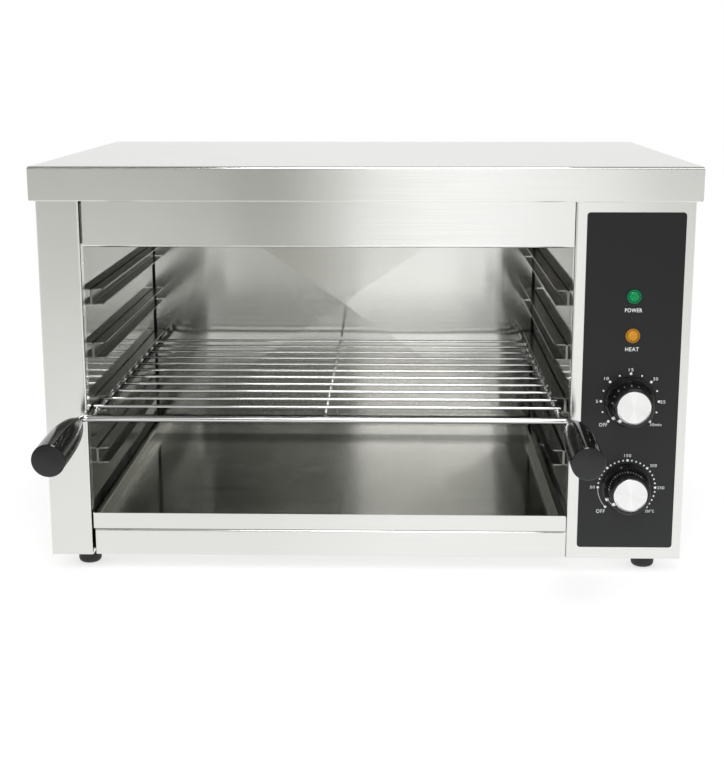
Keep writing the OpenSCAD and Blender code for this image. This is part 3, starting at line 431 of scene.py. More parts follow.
def handle_black(name):
    """Handle plastic: gloss barrel, and a less glossy crowned end face, paler at its foot with a
    painted reflection of the floor.
    """
    look = settings("black")
    crown, face_height = 3.5 * MM, 26 * MM
    finish = gloss_black(name.replace("handle", "handle_black"))
    facing = finish.axis(finish.add("NewGeometry", out="True Normal"), "Y")
    ahead = finish.sum("LESS_THAN", finish.axis(finish.place(), "Y"), front_y(name) + crown)
    matt = finish.sum("MULTIPLY", finish.sum("LESS_THAN", facing, -0.9), ahead)
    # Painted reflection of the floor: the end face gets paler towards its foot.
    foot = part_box(name)[0].z
    shade = finish.span(finish.axis(finish.place(), "Z"), foot, foot + face_height, 0, 1)
    face = finish.blend(shade, look.painted_face_reflection, look.gloss_colour)
    finish.put("Base Color", finish.blend(matt, look.gloss_colour, face))
    gloss = finish.linked("Roughness")
    finish.put("Roughness", finish.mix(matt, gloss, look.face_roughness))
    return finish.material


def overlay_plate():
    """Charcoal plate with a fine satin texture, and a painted reflection of the floor that makes it
    paler towards its foot.
    """
    look = settings("black")
    finish = Finish("overlay_charcoal", look.overlay_colour, Specular_IOR_Level=0.4)
    low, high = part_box("control_overlay")
    # Painted reflection of the floor: the plate gets paler towards its foot.
    down = finish.span(finish.axis(finish.place(), "Z"), low.z, high.z, 1.0, 0.0)
    foot = finish.sum("POWER", down, 2.0)
    painted_floor_reflection = tuple(c * 3.6 for c in look.overlay_colour)
    finish.put("Base Color", finish.blend(foot, look.overlay_colour, painted_floor_reflection))
    grain = finish.noise(finish.place(), 4200.0, 2.0)
    finish.roughen(grain, 0.30, 0.40)
    finish.put("Normal", finish.bump(grain, 0.004 * MM))
    return finish.material


def spun_cap(name, centre):
    """Turned face: fine circles and faint random rays, with painted highlights: brighter rays up
    and down and a bright rim.
    """
    finish = Finish(name, (1.0, 1.0, 0.99), Metallic=1.0, Anisotropic=0.5)
    finish.put("Tangent", finish.add("Tangent", direction_type="RADIAL", axis="Y"))
    flat, radius = finish.from_middle(centre, finish.place())
    way = finish.add("VectorMath", (flat,), operation="NORMALIZE")
    rays = finish.span(finish.noise(way, 5.0, 2.0), 0.3, 0.7, 0.90, 0.95)
    # Painted highlights: brighter up and down, and at the rim.
    upright = finish.sum("POWER", finish.sum("ABSOLUTE", finish.axis(way, "Z")), 10.0)
    rim = finish.span(radius, 14.2 * MM, 14.6 * MM, 0.0, 0.07)
    level = finish.sum("ADD", finish.sum("ADD", rays, finish.sum("MULTIPLY", upright, 0.05)), rim)
    finish.put("Base Color", finish.add("CombineColor", (level, level, level)))
    circles = finish.noise(finish.add("CombineXYZ", (radius, 0.0, 0.0)), 4000.0, 2.0)
    finish.roughen(circles, 0.18, 0.26)
    return finish.material


def moulded(name, colour, roughness, grain_scale=900.0, depth=0.02 * MM):
    """Plain moulded plastic or rubber with a fine grain."""
    finish = Finish(name, colour)
    grain = finish.noise(finish.place(), grain_scale, 3.0)
    finish.roughen(grain, roughness - 0.05, roughness + 0.05)
    finish.put("Normal", finish.bump(grain, depth))
    return finish.material


def mineral_wool():
    """Fibre blanket."""
    finish = Finish("mineral_wool", (0.86, 0.84, 0.76), Roughness=0.95)
    fibre = finish.noise(finish.stretch((120, 400, 900)), 1.0, 4.0, 0.7)
    finish.tint(fibre, dark=(0.62, 0.59, 0.50), light=(0.90, 0.88, 0.80))
    finish.put("Normal", finish.bump(fibre, 0.8 * MM))
    return finish.material


def element_sheath():
    """Heat-treated tube: near black, with straw and blue tints from use."""
    finish = Finish("element_sheath", (0.10, 0.09, 0.085), Metallic=0.7)
    straw, blue = (0.11, 0.085, 0.06), (0.075, 0.08, 0.095)
    finish.tint(finish.noise(finish.stretch((8, 30, 30)), 1.0, 2.0), straw, blue, 0.35, 0.65)
    finish.roughen(finish.noise(finish.place(), 500.0), 0.38, 0.52)
    return finish.material


def turned_metal(name, colour, roughness=0.3):
    """Small turned or drawn metal part."""
    finish = Finish(name, colour, Metallic=1.0)
    grain = finish.noise(finish.stretch((300, 300, 2500)), 1.0, 2.0)
    finish.roughen(grain, roughness - 0.06, roughness + 0.06)
    finish.put("Normal", finish.bump(grain, 0.006 * MM))
    return finish.material


def lens_plastic(name, colour, deep, centre, cut_radius):
    """Tinted lamp plastic: bright diamonds with painted shade lines between them, and the deep
    colour as painted shade in the groove and towards the outer rim.
    """
    half_pitch, line = 1.27 * MM, 0.7 * MM  # of the diamonds, and from a line into a diamond
    finish = Finish(name, colour, Roughness=0.06, Specular_IOR_Level=0.3)
    flat, radius = finish.from_middle(centre, finish.place())
    x, z = finish.axis(flat, "X"), finish.axis(flat, "Z")
    groove = finish.sum(
        "MULTIPLY", finish.span(radius, cut_radius - 0.5 * MM, cut_radius - 0.2 * MM, 0, 1),
        finish.span(radius, cut_radius + 0.2 * MM, cut_radius + 0.5 * MM, 1, 0))
    lines = [finish.sum("PINGPONG", finish.sum(way, x, z), half_pitch)
             for way in ("ADD", "SUBTRACT")]
    # Painted shade: dark lines between the diamonds.
    cell = finish.span(finish.sum("MINIMUM", *lines), 0.0, line, 0, 1)
    lit = finish.blend(cell, tuple(c * 0.2 for c in colour), colour)
    # Painted shade: darker towards the outer rim.
    rim = finish.span(radius, cut_radius + 0.3 * MM, cut_radius + 1.7 * MM, 0.45, 1.0)
    outer = finish.blend(rim, colour, deep)
    lit = finish.blend(finish.sum("GREATER_THAN", radius, cut_radius), lit, outer)
    # Painted shade in the groove.
    finish.put("Base Color", finish.blend(groove, lit, deep))
    facets = finish.noise(finish.place(), 1100.0, 1.0)
    finish.put("Normal", finish.bump(facets, 0.04 * MM))
    return finish.material


def ink():
    """Screen-printed white."""
    look = settings("black")
    finish = Finish("print_white", look.print_colour, Roughness=0.5)
    grain = finish.noise(finish.place(), 2500.0, 2.0)
    finish.tint(grain, (0.74, 0.76, 0.76), look.print_colour, 0.2, 0.5)
    return finish.material


def paint(material, *names):
    """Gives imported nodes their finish."""
    for name in names:
        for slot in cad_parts[name].material_slots:
            slot.material = material


# ---------------------------------------------------------------------------- meshes


def piece(name, shape, material, body, smooth=False):
    """Makes an object from a bmesh, gives it its finish and lets it ride on a body."""
    mesh = bpy.data.meshes.new(name)
    shape.to_mesh(mesh)
    shape.free()
    mesh.materials.append(material)
    for face in mesh.polygons:
        face.use_smooth = smooth
    made = bpy.data.objects.new(name, mesh)
    bpy.context.scene.collection.objects.link(made)
    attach(made, body)
    return made


def disc(shape, x, z, y, radius, steps=20):
    """Round dot that faces the front."""
    ring = [shape.verts.new((x + radius * math.sin(a), y, z + radius * math.cos(a)))
            for a in (2 * math.pi * i / steps for i in range(steps))]
    shape.faces.new(ring)


def arc(shape, x, z, y, radius, width, start, end, steps=24):
    """Thin ring sector; angles are degrees clockwise from the top."""
    rows = []
    for i in range(steps + 1):
        a = math.radians(start + (end - start) * i / steps)
        rows.append([shape.verts.new((x + r * math.sin(a), y, z + r * math.cos(a)))
                     for r in (radius - width / 2, radius + width / 2)])
    for one, two in zip(rows, rows[1:]):
        shape.faces.new((one[0], one[1], two[1], two[0]))


def word(shape, text, x, z, y, height, width, spacing, weight=0.0):
    """Adds flat lettering of a given size, centred on x and z and facing the front."""
    curve = bpy.data.curves.new("lettering", "FONT")
    curve.body = text
    curve.size = 1.0
    curve.space_character = spacing
    curve.offset = weight
    curve.resolution_u = 4
    holder = bpy.data.objects.new("lettering", curve)
    mesh = bpy.data.meshes.new_from_object(holder)
    points = [v.co for v in mesh.vertices]
    low = Vector((min(p.x for p in points), min(p.y for p in points)))
    high = Vector((max(p.x for p in points), max(p.y for p in points)))
    tall, wide = height / (high.y - low.y), width / (high.x - low.x)
    centre = (low + high) / 2
    turn = Matrix(((wide, 0, 0, x - wide * centre.x), (0, 0, 1, y),
                   (0, tall, 0, z - tall * centre.y), (0, 0, 0, 1)))
    mesh.transform(turn)
    shape.from_mesh(mesh)
    bpy.data.objects.remove(holder)
    bpy.data.curves.remove(curve)
    bpy.data.meshes.remove(mesh)


def laid_on(shape, node, centre, angle, inner, outer, width, off, steps=14):
    """Radial dash laid on an imported knob: its points drop onto the knob's own surface."""
    tree = BVHTree.FromObject(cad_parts[node], bpy.context.evaluated_depsgraph_get())
    a = math.radians(angle)
    out = Vector((math.sin(a), 0, math.cos(a)))
    across = Vector((math.cos(a), 0, -math.sin(a)))
    ahead = front_y(node) - 10 * MM
    rows = []
    for i in range(steps + 1):
        row = []
        for j in (-1, -0.33, 0.33, 1):
            start = centre + out * (inner + (outer - inner) * i / steps) + across * (j * width / 2)
            start.y = ahead
            hit, normal = tree.ray_cast(start, Vector((0, 1, 0)))[:2]
            if hit is None:
                raise RuntimeError("the dash misses " + node)
            row.append(shape.verts.new(hit + normal * off))
        rows.append(row)
    for one, two in zip(rows, rows[1:]):
        for j in range(3):
            shape.faces.new((one[j], two[j], two[j + 1], one[j + 1]))


# ---------------------------------------------------------------------------- operators


class MELTER_OT_stage(bpy.types.Operator):
    """Floor, surroundings and soft lamps"""

    bl_idname = "melter.stage"
    bl_label = "Stage"

    # The cabinet's front and the chamber's back wall are upright mirrors for the floor ahead.
    # Floor lines through these points, (x, y), look upright in the one and in the other.
    front_point = (0.03, 0.88)
    back_point = (0.03, 1.64)

    # What polished parts see ahead, as (slope, grey) stops; slope is sideways over forward.
    widest = 0.3
    far_floor = (
        (-0.3, 0.58), (-0.195, 0.565), (-0.139, 0.525), (-0.105, 0.37), (-0.078, 0.38),
        (-0.065, 0.54), (-0.04, 0.70), (-0.01, 0.87), (0.03, 0.98), (0.08, 1.0), (0.14, 0.95),
        (0.2, 0.75), (0.3, 0.7))
    wall_foot = (
        (-0.3, 0.03), (-0.13, 0.04), (-0.1, 0.06), (-0.06, 0.08), (-0.034, 0.10), (-0.024, 1.5),
        (0.06, 1.5), (0.12, 0.9), (0.2, 0.15), (0.3, 0.1))
    wall_above = (
        (-0.3, 0.02), (-0.14, 0.03), (-0.11, 0.05), (-0.075, 0.08), (-0.06, 0.05), (-0.045, 0.08),
        (-0.03, 0.18), (0.0, 0.30), (0.03, 0.36), (0.1, 0.36), (0.2, 0.08))

    def execute(self, context):
        look = settings("stage")
        context.scene.view_settings.view_transform = "Standard"
        self.floor(look)
        self.surroundings(look)
        self.lamp("key_lamp", look.key_lamp, (0.1, -0.9, 1.7), 0.5, 0.3)
        self.lamp("front_lamp", look.front_lamp, (-0.05, -1.5, 1.45), 0.55, 0.2)
        return {"FINISHED"}

    def floor(self, look):
        """White floor. Polished parts see it change with distance and from side to side."""
        half_side, forward = 4.0, 0.7
        shape = bmesh.new()
        bmesh.ops.create_grid(shape, x_segments=1, y_segments=1, size=half_side)
        mesh = bpy.data.meshes.new("floor")
        shape.to_mesh(mesh)
        shape.free()
        made = bpy.data.objects.new("floor", mesh)
        made.location = (0, forward, 0)
        bpy.context.scene.collection.objects.link(made)
        finish = Finish("floor_white", look.floor_colour, Roughness=1.0, Specular_IOR_Level=0.0)
        finish.put("Emission Color", (1, 1, 1, 1))
        finish.put("Emission Strength", look.floor_lift)
        mirrored = finish.add("Emission", (finish.grey(self.floor_level(finish, look)), 1.0))
        glossy = finish.add("LightPath", out="Is Glossy Ray")
        seen = finish.add("MixShader", (glossy, finish.shader.outputs[0], mirrored))
        finish.feed(finish.tree.nodes["Material Output"].inputs["Surface"], seen)
        mesh.materials.append(finish.material)

    def floor_level(self, nodes, look):
        """Grey of the floor as polished parts see it: near, far, behind, and in the middle."""
        near_end, far_end = -0.37, -2.2
        spot = nodes.add("NewGeometry", out="Position")
        x, y = nodes.axis(spot, "X"), nodes.axis(spot, "Y")
        slope = self.slope_from(nodes, self.front_point, x, y)
        near = nodes.span(slope, -0.12, 0.0, look.near_floor - 0.07, look.near_floor)
        far = nodes.steps(slope, self.widest, self.far_floor)
        level = nodes.mix(nodes.span(y, near_end, far_end, 0.0, 0.74), near, far)
        level = nodes.mix(nodes.span(y, 0.3, 0.5, 0.0, 1.0), level, look.rear_floor)
        there, middle_level = self.middle_floor(nodes, x, y)
        return nodes.mix(there, level, middle_level)

    @staticmethod
    def slope_from(nodes, point, x, y):
        """Sideways over forward distance from a point behind the mirrors."""
        return nodes.sum("DIVIDE", nodes.sum("SUBTRACT", x, point[0]),
                         nodes.sum("SUBTRACT", point[1], y))

    def middle_floor(self, nodes, x, y):
        """Stretch of floor that the chamber's back wall mirrors: where it is, and its grey.

        It is dim at the left and bright at the right. Its edges are (start, end) of a fade.
        """
        far_edge, near_edge = (-1.5, -0.85), (-0.72, -0.66)
        left_edge, right_edge = (-0.36, -0.34), (0.18, 0.20)
        there = nodes.span(y, *far_edge, 0, 1)
        there = nodes.sum("MULTIPLY", there, nodes.span(y, *near_edge, 1, 0))
        there = nodes.sum("MULTIPLY", there, nodes.span(x, *left_edge, 0, 1))
        there = nodes.sum("MULTIPLY", there, nodes.span(x, *right_edge, 1, 0))
        slope = self.slope_from(nodes, self.back_point, x, y)
        return there, nodes.span(slope, -0.034, -0.024, 0.24, 1.6)

    def surroundings(self, look):
        """Even light from all round, and white for the camera. Polished parts see a room instead.

        Ahead it has the far floor, a wall that is bright in the middle, a broad lamp and a dark
        corner at the left, and behind it has a pale wall. Rise is upwards over forward.
        """
        world = bpy.data.worlds.new("surroundings")
        bpy.context.scene.world = world
        world.use_nodes = True
        room = Nodes(world.node_tree)
        room.tree.nodes.clear()
        way = room.add("TexCoord", out="Generated")
        x, y, z = (room.axis(way, name) for name in "XYZ")
        forward = room.sum("MAXIMUM", room.sum("ABSOLUTE", y), 0.05)
        slope, rise = room.sum("DIVIDE", x, forward), room.sum("DIVIDE", z, forward)
        floor, foot, above = (room.steps(slope, self.widest, stops)
                              for stops in (self.far_floor, self.wall_foot, self.wall_above))
        wall = room.fade(rise, 0.248, 0.27, foot, above)
        front = room.fade(rise, -0.02, 0.1, floor, wall)
        box = room.fade(room.sum("ABSOLUTE", slope), 0.7, 0.9, look.soft_box, look.ceiling)
        front = room.fade(rise, 0.50, 0.56, front, box)
        front = room.fade(rise, 1.1, 1.4, front, look.ceiling)
        left = room.sum("MULTIPLY", room.span(slope, -0.19, -0.15, 1, 0),
                        room.span(slope, -0.6, -0.5, 0, 1))
        corner, dark = room.sum("MULTIPLY", left, room.span(rise, 0.7, 0.85, 0, 1)), 0.03
        front = room.mix(corner, front, dark)
        back = room.fade(rise, 0.8, 2.5, look.backdrop, look.ceiling)
        level = room.fade(y, -0.12, 0.05, front, back)
        even = room.add("Background", ((1, 1, 1, 1), look.surround))
        mirrored = room.add("Background", (room.grey(level), 1.0))
        white = room.add("Background", ((1, 1, 1, 1), 1.0))
        first = room.add("MixShader", (room.add("LightPath", out="Is Glossy Ray"), even, mirrored))
        last = room.add("MixShader", (room.add("LightPath", out="Is Camera Ray"), first, white))
        room.feed(room.tree.nodes.new("ShaderNodeOutputWorld").inputs["Surface"], last)

    @staticmethod
    def lamp(name, power, place, width, height):
        """Soft rectangular lamp that points at the middle of the cabinet's front."""
        data = bpy.data.lights.new(name, "AREA")
        data.energy = power
        data.shape = "RECTANGLE"
        data.size, data.size_y = width, height
        lamp = bpy.data.objects.new(name, data)
        away = Vector(place) - Vector((0, -0.2, 0.2))
        turn = away.to_track_quat("Z", "Y").to_matrix().to_4x4()
        lamp.matrix_world = Matrix.Translation(place) @ turn
        bpy.context.scene.collection.objects.link(lamp)


class MELTER_OT_camera(bpy.types.Operator):
    """Camera a little above the lid, looking slightly down and to the left"""

    bl_idname = "melter.camera"
    bl_label = "Camera"

    def execute(self, context):
        place = (0.03067, -1.41723, 0.46748)
        pan, tilt, roll = (math.radians(angle) for angle in (1.466, 77.534, -0.055))
        data = bpy.data.cameras.new("camera")
        data.lens = 67.83
        data.sensor_width = 36
        camera = bpy.data.objects.new("camera", data)
        bpy.context.scene.collection.objects.link(camera)
        turn = (Matrix.Rotation(pan, 4, "Z") @ Matrix.Rotation(tilt, 4, "X")
                @ Matrix.Rotation(roll, 4, "Z"))
        camera.matrix_world = Matrix.Translation(place) @ turn
        bpy.context.scene.camera = camera
        return {"FINISHED"}


class MELTER_OT_cabinet(bpy.types.Operator):
    """Brushed finish of the lid, the side panels, the fascia and the strip"""

    bl_idname = "melter.cabinet"
    bl_label = "Cabinet finish"

    def execute(self, context):
        paint(brushed_steel(), "top_cover", "left_side_panel", "right_side_panel", "rear_panel",
              "base_front_strip", "front_fascia")
        return {"FINISHED"}


class MELTER_OT_chamber(bpy.types.Operator):
    """Bright finish of the chamber, the racks and the tray, with painted shade on the side walls,
    the racks and the tray's rear, a painted lighter tray lip, and dark beads as painted shadow in
    the rear corners
    """

    bl_idname = "melter.chamber"
    bl_label = "Chamber finish"

    def execute(self, context):
        # Painted shade: the side walls are darker copies of the same liner, the right one darker
        # still.
        paint(bright_liner("liner_left_shaded", 0.55).material, "chamber_left_wall")
        paint(bright_liner("liner_right_shaded", 0.38).material, "chamber_right_wall")
        back = bright_liner("liner_back", 1.06, roughness=0.105, anisotropic=1.0, waves=0.06)
        paint(back.material, "chamber_back_wall")
        roof = bright_liner("liner_roof", 1.25, roughness=0.3)
        paint(roof.material, "reflector", "element_combs", "bulb_clips")
        sides, levels = ("left", "right"), (1, 2, 3, 4)
        # Painted shade: the racks are a darker copy of the liner.
        racks = bright_liner("liner_racks_shaded", 0.5, roughness=0.24, waves=0.0)
        paint(racks.material, *(f"rack_{side}_{level}" for side in sides for level in levels))
        paint(self.tray(), "crumb_tray")
        base = bright_liner("liner_base", 0.95, roughness=0.25)
        paint(base.material, "base_pan", "tray_runner_left", "tray_runner_right")
        self.corner_shadow_beads()
        return {"FINISHED"}

    def tray(self):
        """Tray sheet: a front lip painted lighter, and painted shade on a strip of floor along the
        rear fold.
        """
        bright, rear_shade_colour, lip_depth = (0.85, 0.85, 0.83), (0.27, 0.27, 0.255), 1.6 * MM
        finish = bright_liner("liner_tray", 1.1, roughness=0.10, anisotropic=1.0, waves=0.1)
        low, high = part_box("crumb_tray")
        y = finish.axis(finish.place(), "Y")
        # Painted shade: a darker strip across the floor near the rear fold.
        strip = finish.sum(
            "SUBTRACT", finish.span(y, high.y - 84 * MM, high.y - 52 * MM, 0, 1, True),
            finish.span(y, high.y - 38 * MM, high.y - 24 * MM, 0, 1, True))
        strip = finish.sum("MULTIPLY", strip, finish.level())
        rear_shaded = finish.blend(strip, finish.linked("Base Color"), rear_shade_colour)
        # Painted light: the front lip is lighter than the rest of the same sheet.
        painted_light_lip = finish.sum("LESS_THAN", y, low.y + lip_depth)
        finish.put("Base Color", finish.blend(painted_light_lip, rear_shaded, bright))
        return finish.material

    def corner_shadow_beads(self):
        """Dark bead down each rear corner, flat on the back wall and hollow towards the side: a
        painted shadow of the corner joint.
        """
        wide, deep, sheet = 2.2 * MM, 0.9 * MM, 1.0 * MM
        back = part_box("chamber_back_wall")[1].y - sheet
        low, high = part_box("crumb_tray")[1].z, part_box("chamber_left_wall")[1].z - sheet
        shape = bmesh.new()
        for wall, way in ((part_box("chamber_left_wall")[1].x, 1),
                          (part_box("chamber_right_wall")[0].x, -1)):
            plan = [(wall, back), (wall, back - deep)]
            plan += [(wall + way * wide * (1 - math.cos(a)), back - deep * (1 - math.sin(a)))
                     for a in (math.radians(15 * i) for i in range(1, 6))]
            plan += [(wall + way * wide, back)]
            rows = [[shape.verts.new((x, y, z)) for x, y in plan] for z in (low, high)]
            foot, head = rows
            for i in range(len(plan)):
                j = (i + 1) % len(plan)
                shape.faces.new((foot[i], foot[j], head[j], head[i]))
            shape.faces.new(foot)
            shape.faces.new(head)
        bmesh.ops.recalc_face_normals(shape, faces=shape.faces)
        # Painted shadow: a dark bead where the rear corners lie in shade.
        shadow_black = moulded("corner_shadow_black", (0.004, 0.004, 0.004), 0.6)
        piece("corner_shadow_beads", shape, shadow_black, "casing")


class MELTER_OT_grid(bpy.types.Operator):
    """Chromed grid with its weld beads, and its two black handles"""

    bl_idname = "melter.grid"
    bl_label = "Grid and handles"

    def execute(self, context):
        wire = chrome_wire()
        paint(wire, "grid_front_rod", "grid_cross_wires", "grid_middle_wire")
        first, pitch = self.welds()
        # Side rods: chrome with painted shade between the welds, at the dark level 0.5.
        shaded_between_welds = chrome_wire("chrome_welded", dark=0.5, start=first, pitch=pitch)
        paint(shaded_between_welds, "grid_side_rod_left", "grid_side_rod_right")
        for name in ("handle_left", "handle_right"):
            paint(handle_black(name), name)
        self.beads(wire)
        return {"FINISHED"}

    @staticmethod
    def welds():
        """Place of the foremost cross wire along y, and the distance from one to the next."""
        low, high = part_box("grid_cross_wires")
        radius = (high.z - low.z) / 2
        return low.y + radius, (high.y - low.y - 2 * radius) / (CROSS_WIRES - 1)

    def beads(self, material):
        """Resistance welds: a squeezed bead wherever a cross wire meets another wire."""
        bead = Vector((2.1 * MM, 1.9 * MM, 0.85 * MM))
        ruffle = random.Random(7)
        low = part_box("grid_cross_wires")[0]
        first, pitch = self.welds()
        shape = bmesh.new()
        places = [(middle("grid_side_rod_left").x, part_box("grid_side_rod_left")[1].z),
                  (middle("grid_side_rod_right").x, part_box("grid_side_rod_right")[1].z),
                  (middle("grid_middle_wire").x, low.z)]
        for i in range(CROSS_WIRES):
            y = first + pitch * i
            for x, z in places:
                made = bmesh.ops.create_icosphere(shape, subdivisions=2, radius=1.0)["verts"]
                size = bead * ruffle.uniform(0.9, 1.1)
                lean = ruffle.uniform(-0.35, 0.35) * MM
                for vert in made:
                    swell = 1 + ruffle.uniform(-0.06, 0.06)
                    vert.co = Vector((x + vert.co.x * size.x * swell,
                                      y + lean + vert.co.y * size.y * swell,
                                      z + vert.co.z * size.z))
        piece("grid_weld_beads", shape, material, "grid", smooth=True)


class MELTER_OT_overlay(bpy.types.Operator):
    """Charcoal overlay plate with its printed dials and captions"""

    bl_idname = "melter.overlay"
    bl_label = "Overlay and print"

    def execute(self, context):
        look = settings("print")
        paint(overlay_plate(), "control_overlay")
        y = front_y("control_overlay") - look.ink
        white = ink()
        self.timer_dial(look, y, white)
        self.thermostat_dial(look, y, white)
        self.captions(look, y, white)
        return {"FINISHED"}

    def dot(self, shape, centre, y, look, angle, size):
        """One dot of the ring round a knob."""
        a = math.radians(angle)
        disc(shape, centre.x + look.ring_radius * math.sin(a),
             centre.z + look.ring_radius * math.cos(a), y, size / 2)

    def ring(self, shape, centre, y, look, majors, between):
        """Large dots at the numbers and small ones between them."""
        for angle in majors:
            self.dot(shape, centre, y, look, angle, look.major_dot)
        for one, two in zip(majors, majors[1:]):
            for i in range(1, between + 1):
                angle = one + (two - one) * i / (between + 1)
                self.dot(shape, centre, y, look, angle, look.minor_dot)

    def numbers(self, shape, centre, y, look, entries):
        """Each entry: the text, its place off the dial's middle and its room, in millimetres."""
        filled, spacing = 0.94, 1.12
        for text, dx, dz, room in entries:
            tall = look.off_height if text == "OFF" else look.number_height
            word(shape, text, centre.x + dx * MM, centre.z + dz * MM, y, tall,
                 room * filled * MM, spacing)

    def timer_dial(self, look, y, white):
        """Dots every five minutes with one between them, and their numbers."""
        shape = bmesh.new()
        centre = middle("timer_shaft")
        self.ring(shape, centre, y, look, (-134, -89, -45, 0, 45, 89, 134), 1)
        self.numbers(shape, centre, y, look, (
            ("OFF", -23.6, -21.6, 8.0), ("5", -30.0, 0.4, 2.1), ("10", -22.0, 21.8, 4.3),
            ("15", 0.0, 30.0, 4.5), ("20", 22.4, 21.6, 4.7), ("25", 29.9, 0.2, 4.9),
            ("30min", 24.2, -21.2, 11.4)))
        piece("timer_dial_print", shape, white, "casing")

    def thermostat_dial(self, look, y, white):
        """Dots every 50 degrees with four between them, their numbers, and an arc after OFF."""
        line, gap = 0.35 * MM, 2
        shape = bmesh.new()
        centre = middle("thermostat_shaft")
        off, *majors = (-134, -89, -44, 0, 44, 89, 133.5)
        self.ring(shape, centre, y, look, majors, 4)
        self.dot(shape, centre, y, look, off, look.major_dot)
        arc(shape, centre.x, centre.z, y, look.ring_radius, line, off + gap, majors[0] - gap)
        self.numbers(shape, centre, y, look, (
            ("OFF", -23.2, -22.6, 8.6), ("50", -31.4, 0.6, 4.7), ("100", -24.8, 21.6, 6.6),
            ("150", 0.0, 31.0, 6.6), ("200", 23.9, 21.6, 6.6), ("250", 31.6, 0.4, 6.8),
            ("300\u00b0C", 22.2, -22.2, 9.0)))
        piece("thermostat_dial_print", shape, white, "casing")

    def captions(self, look, y, white):
        """A word below each lamp."""
        drop, spacing, weight = 12.5 * MM, 1.08, 0.006
        shape = bmesh.new()
        for text, lens, wide in (("POWER", "power_lamp_lens", 15.4),
                                 ("HEAT", "heat_lamp_lens", 12.4)):
            centre = middle(lens)
            word(shape, text, centre.x, centre.z - drop, y, look.caption_height, wide * MM,
                 spacing, weight)
        piece("lamp_captions", shape, white, "casing")


class MELTER_OT_knobs(bpy.types.Operator):
    """Gloss black knobs with metal caps and white pointer dashes"""

    bl_idname = "melter.knobs"
    bl_label = "Knobs"

    def execute(self, context):
        paint(gloss_black().material, "timer_knob", "thermostat_knob")
        for name in ("timer_knob_cap", "thermostat_knob_cap"):
            paint(spun_cap("spun_" + name, middle(name)), name)
        width, off = 2.8 * MM, 0.05 * MM
        for name, angle in (("timer", -134), ("thermostat", -119)):
            shape = bmesh.new()
            centre = middle(name + "_shaft")
            for inner, outer in ((17.6 * MM, 22.2 * MM), (16.0 * MM, 17.45 * MM)):
                laid_on(shape, name + "_knob", centre, angle, inner, outer, width, off)
            piece(name + "_knob_dashes", shape, ink(), name + "_dial")
        return {"FINISHED"}


class MELTER_OT_lamps(bpy.types.Operator):
    """Green and amber lamp lenses with a diamond-cut dome"""

    bl_idname = "melter.lamps"
    bl_label = "Indicator lamps"

    # Heights are above the lens's back. A shallow groove parts the rim from the dome.
    rim, rim_height, chamfer = 1.7 * MM, 1.9 * MM, 0.7 * MM
    groove_height, crown, tallest = 1.3 * MM, 1.6 * MM, 3.35 * MM
    cell, cells, peak = 0.45 * MM, 40, 0.32 * MM

    def execute(self, context):
        # The second colour of each lens is the painted shade in its groove and at its outer rim.
        for node, slot, colour, deep in (
                ("power_lamp_lens", "green_lens", (0.0, 0.42, 0.13), (0.0, 0.05, 0.025)),
                ("heat_lamp_lens", "amber_lens", (1.0, 0.46, 0.03), (0.16, 0.06, 0.01))):
            low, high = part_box(node)
            dome = (high.x - low.x) / 2 - self.rim
            self.lens(node, lens_plastic(slot, colour, deep, (low + high) / 2, dome), slot)
        body = moulded("lamp_body_black", (0.02, 0.02, 0.02), 0.5)
        paint(body, "power_lamp_body", "heat_lamp_body")
        return {"FINISHED"}

    def lens(self, node, material, slot):
        """Rim as a revolved profile, and a dome cut into small diamonds."""
        low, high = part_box(node)
        centre = (low + high) / 2
        back, radius = high.y, (high.x - low.x) / 2
        shape = bmesh.new()
        self.revolve_rim(shape, centre, back, radius)
        self.cut_dome(shape, centre, back, radius - self.rim)
        bmesh.ops.recalc_face_normals(shape, faces=shape.faces)
        made = piece(node + "_cut", shape, material, "casing")
        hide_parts(node)

    def revolve_rim(self, shape, centre, back, radius, steps=48):
        """Chamfered rim, down to the groove at its inner side."""
        inner = radius - self.rim
        profile = [(radius, 0), (radius, self.rim_height - self.chamfer),
                   (radius - self.chamfer, self.rim_height), (inner, self.rim_height),
                   (inner, self.groove_height)]
        angles = [2 * math.pi * i / steps for i in range(steps)]
        rings = [[shape.verts.new((centre.x + r * math.sin(a), back - h,
                                   centre.z + r * math.cos(a))) for a in angles]
                 for r, h in profile]
        for one, two in zip(rings, rings[1:]):
            for i in range(steps):
                j = (i + 1) % steps
                shape.faces.new((one[i], one[j], two[j], two[i]))

    def cut_dome(self, shape, centre, back, inner):
        """Crowned disc of small cells, with a peak on the inner four of every sixteen."""
        points = {}
        places = range(-self.cells // 2, self.cells // 2 + 1)
        for i in places:
            for j in places:
                u, v = i * self.cell, j * self.cell
                x, z = (u + v) * DIAGONAL, (v - u) * DIAGONAL
                r = math.hypot(x, z)
                if r > inner + 0.2 * MM:
                    continue
                height = self.groove_height
                if r < inner:
                    height += self.crown * (1 - (r / inner) ** 2)
                    height += self.peak if i % 4 in (1, 2) and j % 4 in (1, 2) else 0.0
                height = min(height, self.tallest)
                points[i, j] = shape.verts.new((centre.x + x, back - height, centre.z + z))
        for (i, j), corner in points.items():
            others = [points.get(p) for p in ((i + 1, j), (i + 1, j + 1), (i, j + 1))]
            if None not in others:
                shape.faces.new((corner, *others))


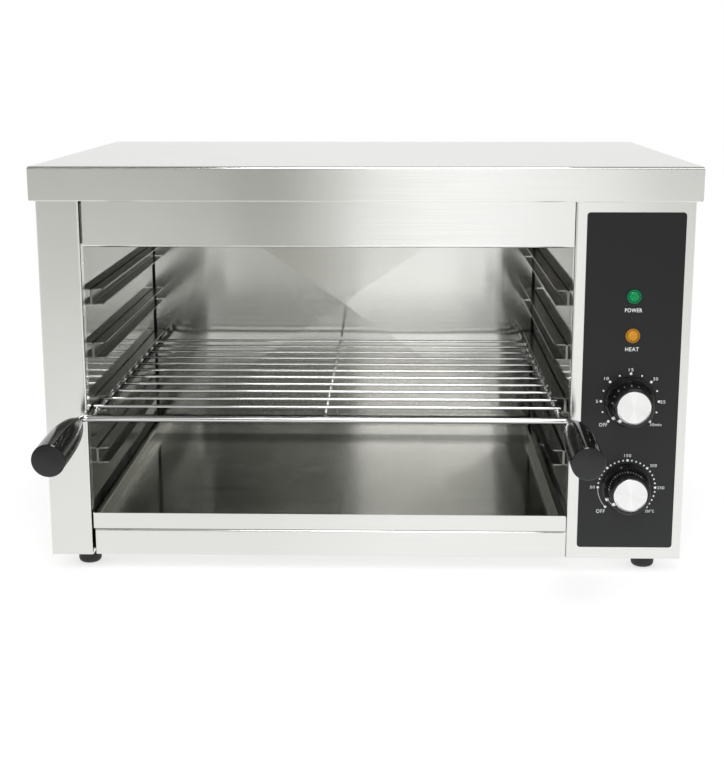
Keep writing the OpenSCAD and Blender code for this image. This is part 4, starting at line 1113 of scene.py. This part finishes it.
class MELTER_OT_small_parts(bpy.types.Operator):
    """Feet, screws, inlet, insulation and the works behind the panel"""

    bl_idname = "melter.small_parts"
    bl_label = "Small parts"

    def execute(self, context):
        feet = [f"foot_{row}_{side}" for row in ("front", "rear") for side in ("left", "right")]
        paint(moulded("foot_rubber", (0.018, 0.018, 0.018), 0.62, 700.0), *feet)
        paint(turned_metal("screw_zinc", (0.62, 0.62, 0.61)), "foot_screws", "rear_panel_screws",
              "timer_shaft", "thermostat_shaft")
        paint(moulded("gland_plastic", (0.03, 0.03, 0.03), 0.42), "cable_gland", "gland_nut",
              "thermal_limiter")
        paint(mineral_wool(), "wool_top", "wool_back")
        paint(element_sheath(), "heating_element_front", "heating_element_rear")
        paint(turned_metal("bush_brass", (0.78, 0.60, 0.30)), "element_bushes")
        paint(turned_metal("bulb_copper", (0.80, 0.44, 0.28)), "thermostat_bulb")
        paint(turned_metal("control_plate", (0.70, 0.70, 0.68)), "thermostat_body")
        paint(moulded("timer_white", (0.82, 0.82, 0.78), 0.45), "timer_body")
        paint(moulded("terminal_white", (0.80, 0.79, 0.74), 0.5), "terminal_block")
        return {"FINISHED"}


OPERATORS = (
    MELTER_OT_camera,
    MELTER_OT_stage,
    MELTER_OT_cabinet,
    MELTER_OT_chamber,
    MELTER_OT_grid,
    MELTER_OT_overlay,
    MELTER_OT_knobs,
    MELTER_OT_lamps,
    MELTER_OT_small_parts,
)


class MELTER_PT_panel(bpy.types.Panel):
    """Lists the settings and the steps of the melter"""

    bl_label = "Cheese melter"
    bl_idname = "MELTER_PT_panel"
    bl_space_type = "VIEW_3D"
    bl_region_type = "UI"
    bl_category = "Melter"

    def draw(self, context):
        for name, group in SETTINGS.items():
            box = self.layout.box()
            box.label(text=name.replace("melter_", "").title())
            for field in group.__annotations__:
                box.prop(getattr(context.scene, name), field)
        column = self.layout.column(align=True)
        for operator in OPERATORS:
            column.operator(operator.bl_idname)


def register():
    for group in (*SETTINGS.values(), *OPERATORS, MELTER_PT_panel):
        bpy.utils.register_class(group)
    for name, group in SETTINGS.items():
        setattr(bpy.types.Scene, name, bpy.props.PointerProperty(type=group))


def unregister():
    for name in SETTINGS:
        delattr(bpy.types.Scene, name)
    for group in reversed((*SETTINGS.values(), *OPERATORS, MELTER_PT_panel)):
        bpy.utils.unregister_class(group)


def main():
    """Runs the steps in order."""
    register()
    for operator in OPERATORS:
        group, name = operator.bl_idname.split(".")
        getattr(getattr(bpy.ops, group), name)()


if __name__ == "__main__":
    main()
